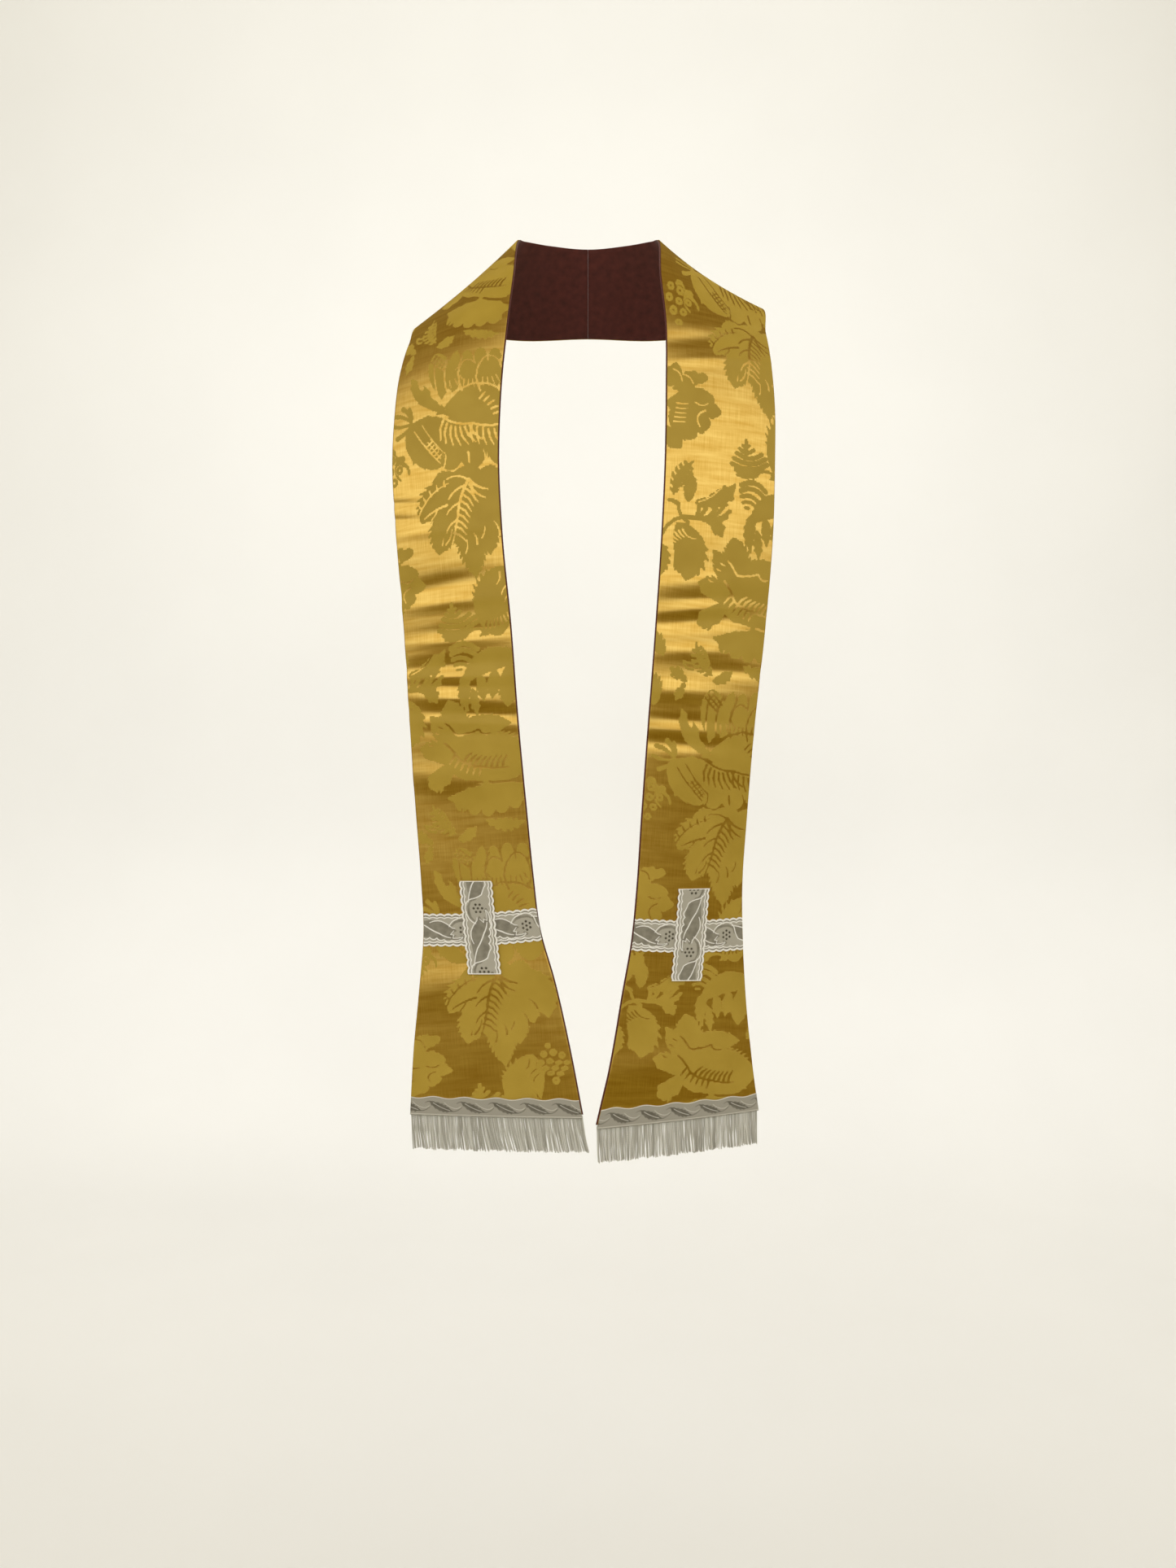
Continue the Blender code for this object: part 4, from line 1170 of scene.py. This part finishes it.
def thread_tree(look):
    """A round thread along each curve it is given, with a shade of its own."""
    inputs = [("Geometry", "Geometry", None), ("Thread radius", "Float", THREAD_RADIUS * METRES),
              ("Seed", "Int", THREAD_SEED)]
    tree, given, made = group_with("hanging_thread", "GeometryNodeTree", inputs, [("Geometry", "Geometry")])

    def stored(flow, label, value, kind="FLOAT"):
        return node(tree, "GeometryNodeStoreNamedAttribute", data_type=kind, domain="POINT",
                    in_Geometry=flow, in_Name=label, in_Value=value).outputs[0]

    chance = node(tree, "FunctionNodeRandomValue", data_type="FLOAT", in_Seed=given.outputs["Seed"])
    whole = node(tree, "GeometryNodeFieldOnDomain", chance.outputs[1], data_type="FLOAT", domain="CURVE")
    length = node(tree, "GeometryNodeSplineParameter").outputs["Length"]
    flow = stored(stored(given.outputs[0], "thread_along", length), "thread_shade", whole.outputs[0])
    radius = given.outputs["Thread radius"]
    ring = node(tree, "GeometryNodeCurvePrimitiveCircle", in_Resolution=THREAD_SIDES, in_Radius=radius)
    place = node(tree, "GeometryNodeInputPosition").outputs[0]
    profile = stored(ring.outputs[0], "thread_round", place, "FLOAT_VECTOR")
    flow = node(tree, "GeometryNodeCurveToMesh", flow, profile, in_Fill_Caps=True).outputs[0]
    for kind in ("GeometryNodeSetShadeSmooth", "GeometryNodeRealizeInstances", "GeometryNodeSetMaterial"):
        step = node(tree, kind, flow)
        flow = step.outputs[0]
    step.inputs["Material"].default_value = look
    join(tree, flow, made.inputs[0])
    return tree


def plain_mesh(source, name):
    """What a modifier makes of an object, as a mesh of its own."""
    graph = bpy.context.evaluated_depsgraph_get()
    mesh = bpy.data.meshes.new_from_object(source.evaluated_get(graph))
    mesh.name = name
    bpy.data.objects.remove(source, do_unlink=True)
    made = bpy.data.objects.new(name, mesh)
    bpy.context.scene.collection.objects.link(made)
    return made


def fringe_look():
    look, tree, shader = new_look("silver_thread", Roughness=0.40, Metallic=0.15)
    shade = marked(tree, "thread_shade")
    parts = split(tree, vectors(tree, "NORMALIZE", marked(tree, "thread_round", "Vector")))
    start = sums(tree, "MULTIPLY", shade, math.tau)
    turn = sums(tree, "MULTIPLY_ADD", marked(tree, "thread_along"), math.tau / (THREAD_LAY * METRES), start)
    one = sums(tree, "MULTIPLY", parts[0], sums(tree, "SINE", turn))
    twist = sums(tree, "MULTIPLY_ADD", parts[1], sums(tree, "COSINE", turn), one)
    # Stripes round the twist: painted shade in its grooves and painted highlight on its plies, and also the
    # height of its bump
    ply_relief_and_shade = between(tree, twist, -0.9, 0.7)
    tone = sums(tree, "MULTIPLY_ADD", ply_relief_and_shade, PLY_SHADE_TONE, sums(tree, "MULTIPLY", shade, THREAD_TONE))
    join(tree, mixed(tree, tone, *colours("858071", "FFFFFA")), shader.inputs["Base Color"])
    bump(tree, shader, ply_relief_and_shade, distance=0.0003, strength=0.8)
    return look


def thread_points(band, number):
    """One thread from its root to its end, in mm."""
    across = HEADING_MARGIN + (1 - 2 * HEADING_MARGIN) * (number + 0.5) / THREADS
    root = band.point(band.length + GAP + ROOT_DROP, across, ROOT_LIFTS[number % 2])
    part = np.linspace(0, 1, THREAD_STEPS)
    length = FRINGE_LENGTH - ROOT_DROP + wave_at(LENGTHS, number)
    lean = np.interp(across, (0.0, 0.5, 1.0), FRINGE_LEANS[band.name])
    sway = (lean + wave_at(SWAY, number)) * part**SWAY_BEND
    sway += wave_at(CURL, number) * np.sin(math.tau * part)
    swing = wave_at(SWING, number) * part**SWING_BEND
    return root + np.stack((sway, swing, -length * part), -1)


THREAD = thread_tree(fringe_look())
for band in BANDS:
    curves = bpy.data.curves.new("threads", "CURVE")
    curves.dimensions = "3D"
    for number in range(THREADS):
        points = thread_points(band, number) * METRES
        line = curves.splines.new("POLY")
        line.points.add(THREAD_STEPS - 1)
        line.points.foreach_set("co", np.column_stack((points, np.ones(THREAD_STEPS))).ravel())
    source = bpy.data.objects.new("threads", curves)
    bpy.context.scene.collection.objects.link(source)
    source.modifiers.new("threads", "NODES").node_group = THREAD
    piece = plain_mesh(source, "fringe_threads_" + band.name)
    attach(piece, "root")
    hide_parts("fringe_" + band.name)

# The studio
# A plain pale floor and backdrop, soft light from the front, and the camera of the photograph.
CAMERA_BACK = 1.413
CAMERA_DROP = 0.646
LENS = 26.0
FRAME_HEIGHT = 36.0
FLOOR = -1.5
PAPER_HALF_WIDTH = 4.0
PAPER_TOP = 3.0
BEND_START = 0.9
BEND_RADIUS = 0.8
BEND_STEPS = 12

view = bpy.data.cameras.new("view")
view.lens = LENS
view.sensor_fit = "VERTICAL"
view.sensor_height = FRAME_HEIGHT
camera = bpy.data.objects.new("view", view)
camera.location = (0.0, -CAMERA_BACK, -CAMERA_DROP)
camera.rotation_euler = (math.radians(90), 0.0, 0.0)
bpy.context.scene.collection.objects.link(camera)
bpy.context.scene.camera = camera


def paper_look():
    look, tree, shader = new_look("pale_paper", Roughness=0.9)
    place = node(tree, "ShaderNodeTexCoord").outputs["Object"]
    cloud = noise(tree, place, scale=1.5, detail=3.0)
    shade = between(tree, cloud, 0.3, 0.7)
    join(tree, mixed(tree, shade, *colours("F0F1F2", "F4F5F6")), shader.inputs["Base Color"])
    return look


def backdrop():
    """Floor and wall in one sheet, with a round bend between them."""
    profile = [(-PAPER_HALF_WIDTH, FLOOR), (BEND_START, FLOOR)]
    for turn in np.linspace(0, math.pi / 2, BEND_STEPS + 1)[1:]:
        back, up = BEND_RADIUS * math.sin(turn), BEND_RADIUS * (1 - math.cos(turn))
        profile.append((BEND_START + back, FLOOR + up))
    profile.append((BEND_START + BEND_RADIUS, PAPER_TOP))
    data = bmesh.new()
    sides = (-PAPER_HALF_WIDTH, PAPER_HALF_WIDTH)
    rows = [[data.verts.new((x, y, z)) for x in sides] for y, z in profile]
    for one, two in zip(rows, rows[1:]):
        data.faces.new((one[0], one[1], two[1], two[0]))
    mesh = bpy.data.meshes.new("backdrop")
    data.to_mesh(mesh)
    data.free()
    mesh.shade_smooth()
    mesh.materials.append(paper_look())
    made = bpy.data.objects.new("backdrop", mesh)
    made.visible_glossy = False
    bpy.context.scene.collection.objects.link(made)


backdrop()

Lamp = namedtuple("Lamp", "name place aim wide high watts")
LAMPS = [
    Lamp("key", (-0.8, -3.2, 1.0), (0.0, -0.2, -0.5), 2.0, 1.6, 12.0),
    Lamp("wall_light", (0.0, 0.3, 2.6), (0.0, 1.5, -0.4), 3.0, 0.6, 20.0),
    Lamp("floor_light", (0.0, 0.3, 0.9), (0.0, 1.5, -1.3), 3.0, 0.4, 9.6),
]
for row in LAMPS:
    lamp = bpy.data.lights.new(row.name, "AREA")
    lamp.shape = "RECTANGLE"
    lamp.size, lamp.size_y = row.wide, row.high
    lamp.energy = row.watts
    made = bpy.data.objects.new(row.name, lamp)
    made.location = row.place
    made.rotation_euler = (Vector(row.aim) - Vector(row.place)).to_track_quat("-Z", "Y").to_euler()
    made.visible_camera = False
    made.visible_glossy = False
    bpy.context.scene.collection.objects.link(made)

# A ring of soft panels in front, from the level of the object to well above it, dim elsewhere
Panel = namedtuple("Panel", "degrees red green blue")
PANELS = [
    Panel(-90, 0.26, 0.20, 0.03),
    Panel(0, 0.26, 0.20, 0.03),
    Panel(7, 0.86, 0.82, 0.72),
    Panel(17, 1.34, 1.30, 1.22),
    Panel(48, 1.10, 1.05, 0.95),
    Panel(62, 0.27, 0.21, 0.06),
    Panel(90, 0.27, 0.21, 0.06),
]
BEHIND = (0.27, 0.20, 0.05, 1.0)
FRONT_RANGE = (0.25, -0.45)  # the panels fade in between these places from back to front
SEEN_BEYOND = (0.896, 0.871, 0.791, 1.0)


def room_light():
    world = bpy.data.worlds.new("room")
    world.use_nodes = True
    tree = world.node_tree
    way = split(tree, node(tree, "ShaderNodeTexCoord").outputs["Generated"])
    ramp = node(tree, "ShaderNodeValToRGB")
    join(tree, between(tree, way[2], -1.0, 1.0), ramp.inputs[0])
    stops = ramp.color_ramp.elements
    while len(stops) < len(PANELS):
        stops.new(0.5)
    for stop, panel in zip(stops, PANELS):
        stop.position = (math.sin(math.radians(panel.degrees)) + 1) / 2
    for stop, panel in zip(stops, PANELS):
        stop.color = (panel.red, panel.green, panel.blue, 1.0)
    front = between(tree, way[1], *FRONT_RANGE, kind="SMOOTHSTEP")
    light = mixed(tree, front, BEHIND, ramp.outputs[0])
    seen = node(tree, "ShaderNodeLightPath").outputs["Is Camera Ray"]
    join(tree, mixed(tree, seen, light, SEEN_BEYOND), tree.nodes["Background"].inputs[0])
    bpy.context.scene.world = world


room_light()
bpy.context.scene.view_settings.view_transform = "Standard"
bpy.context.scene.view_settings.look = "None"
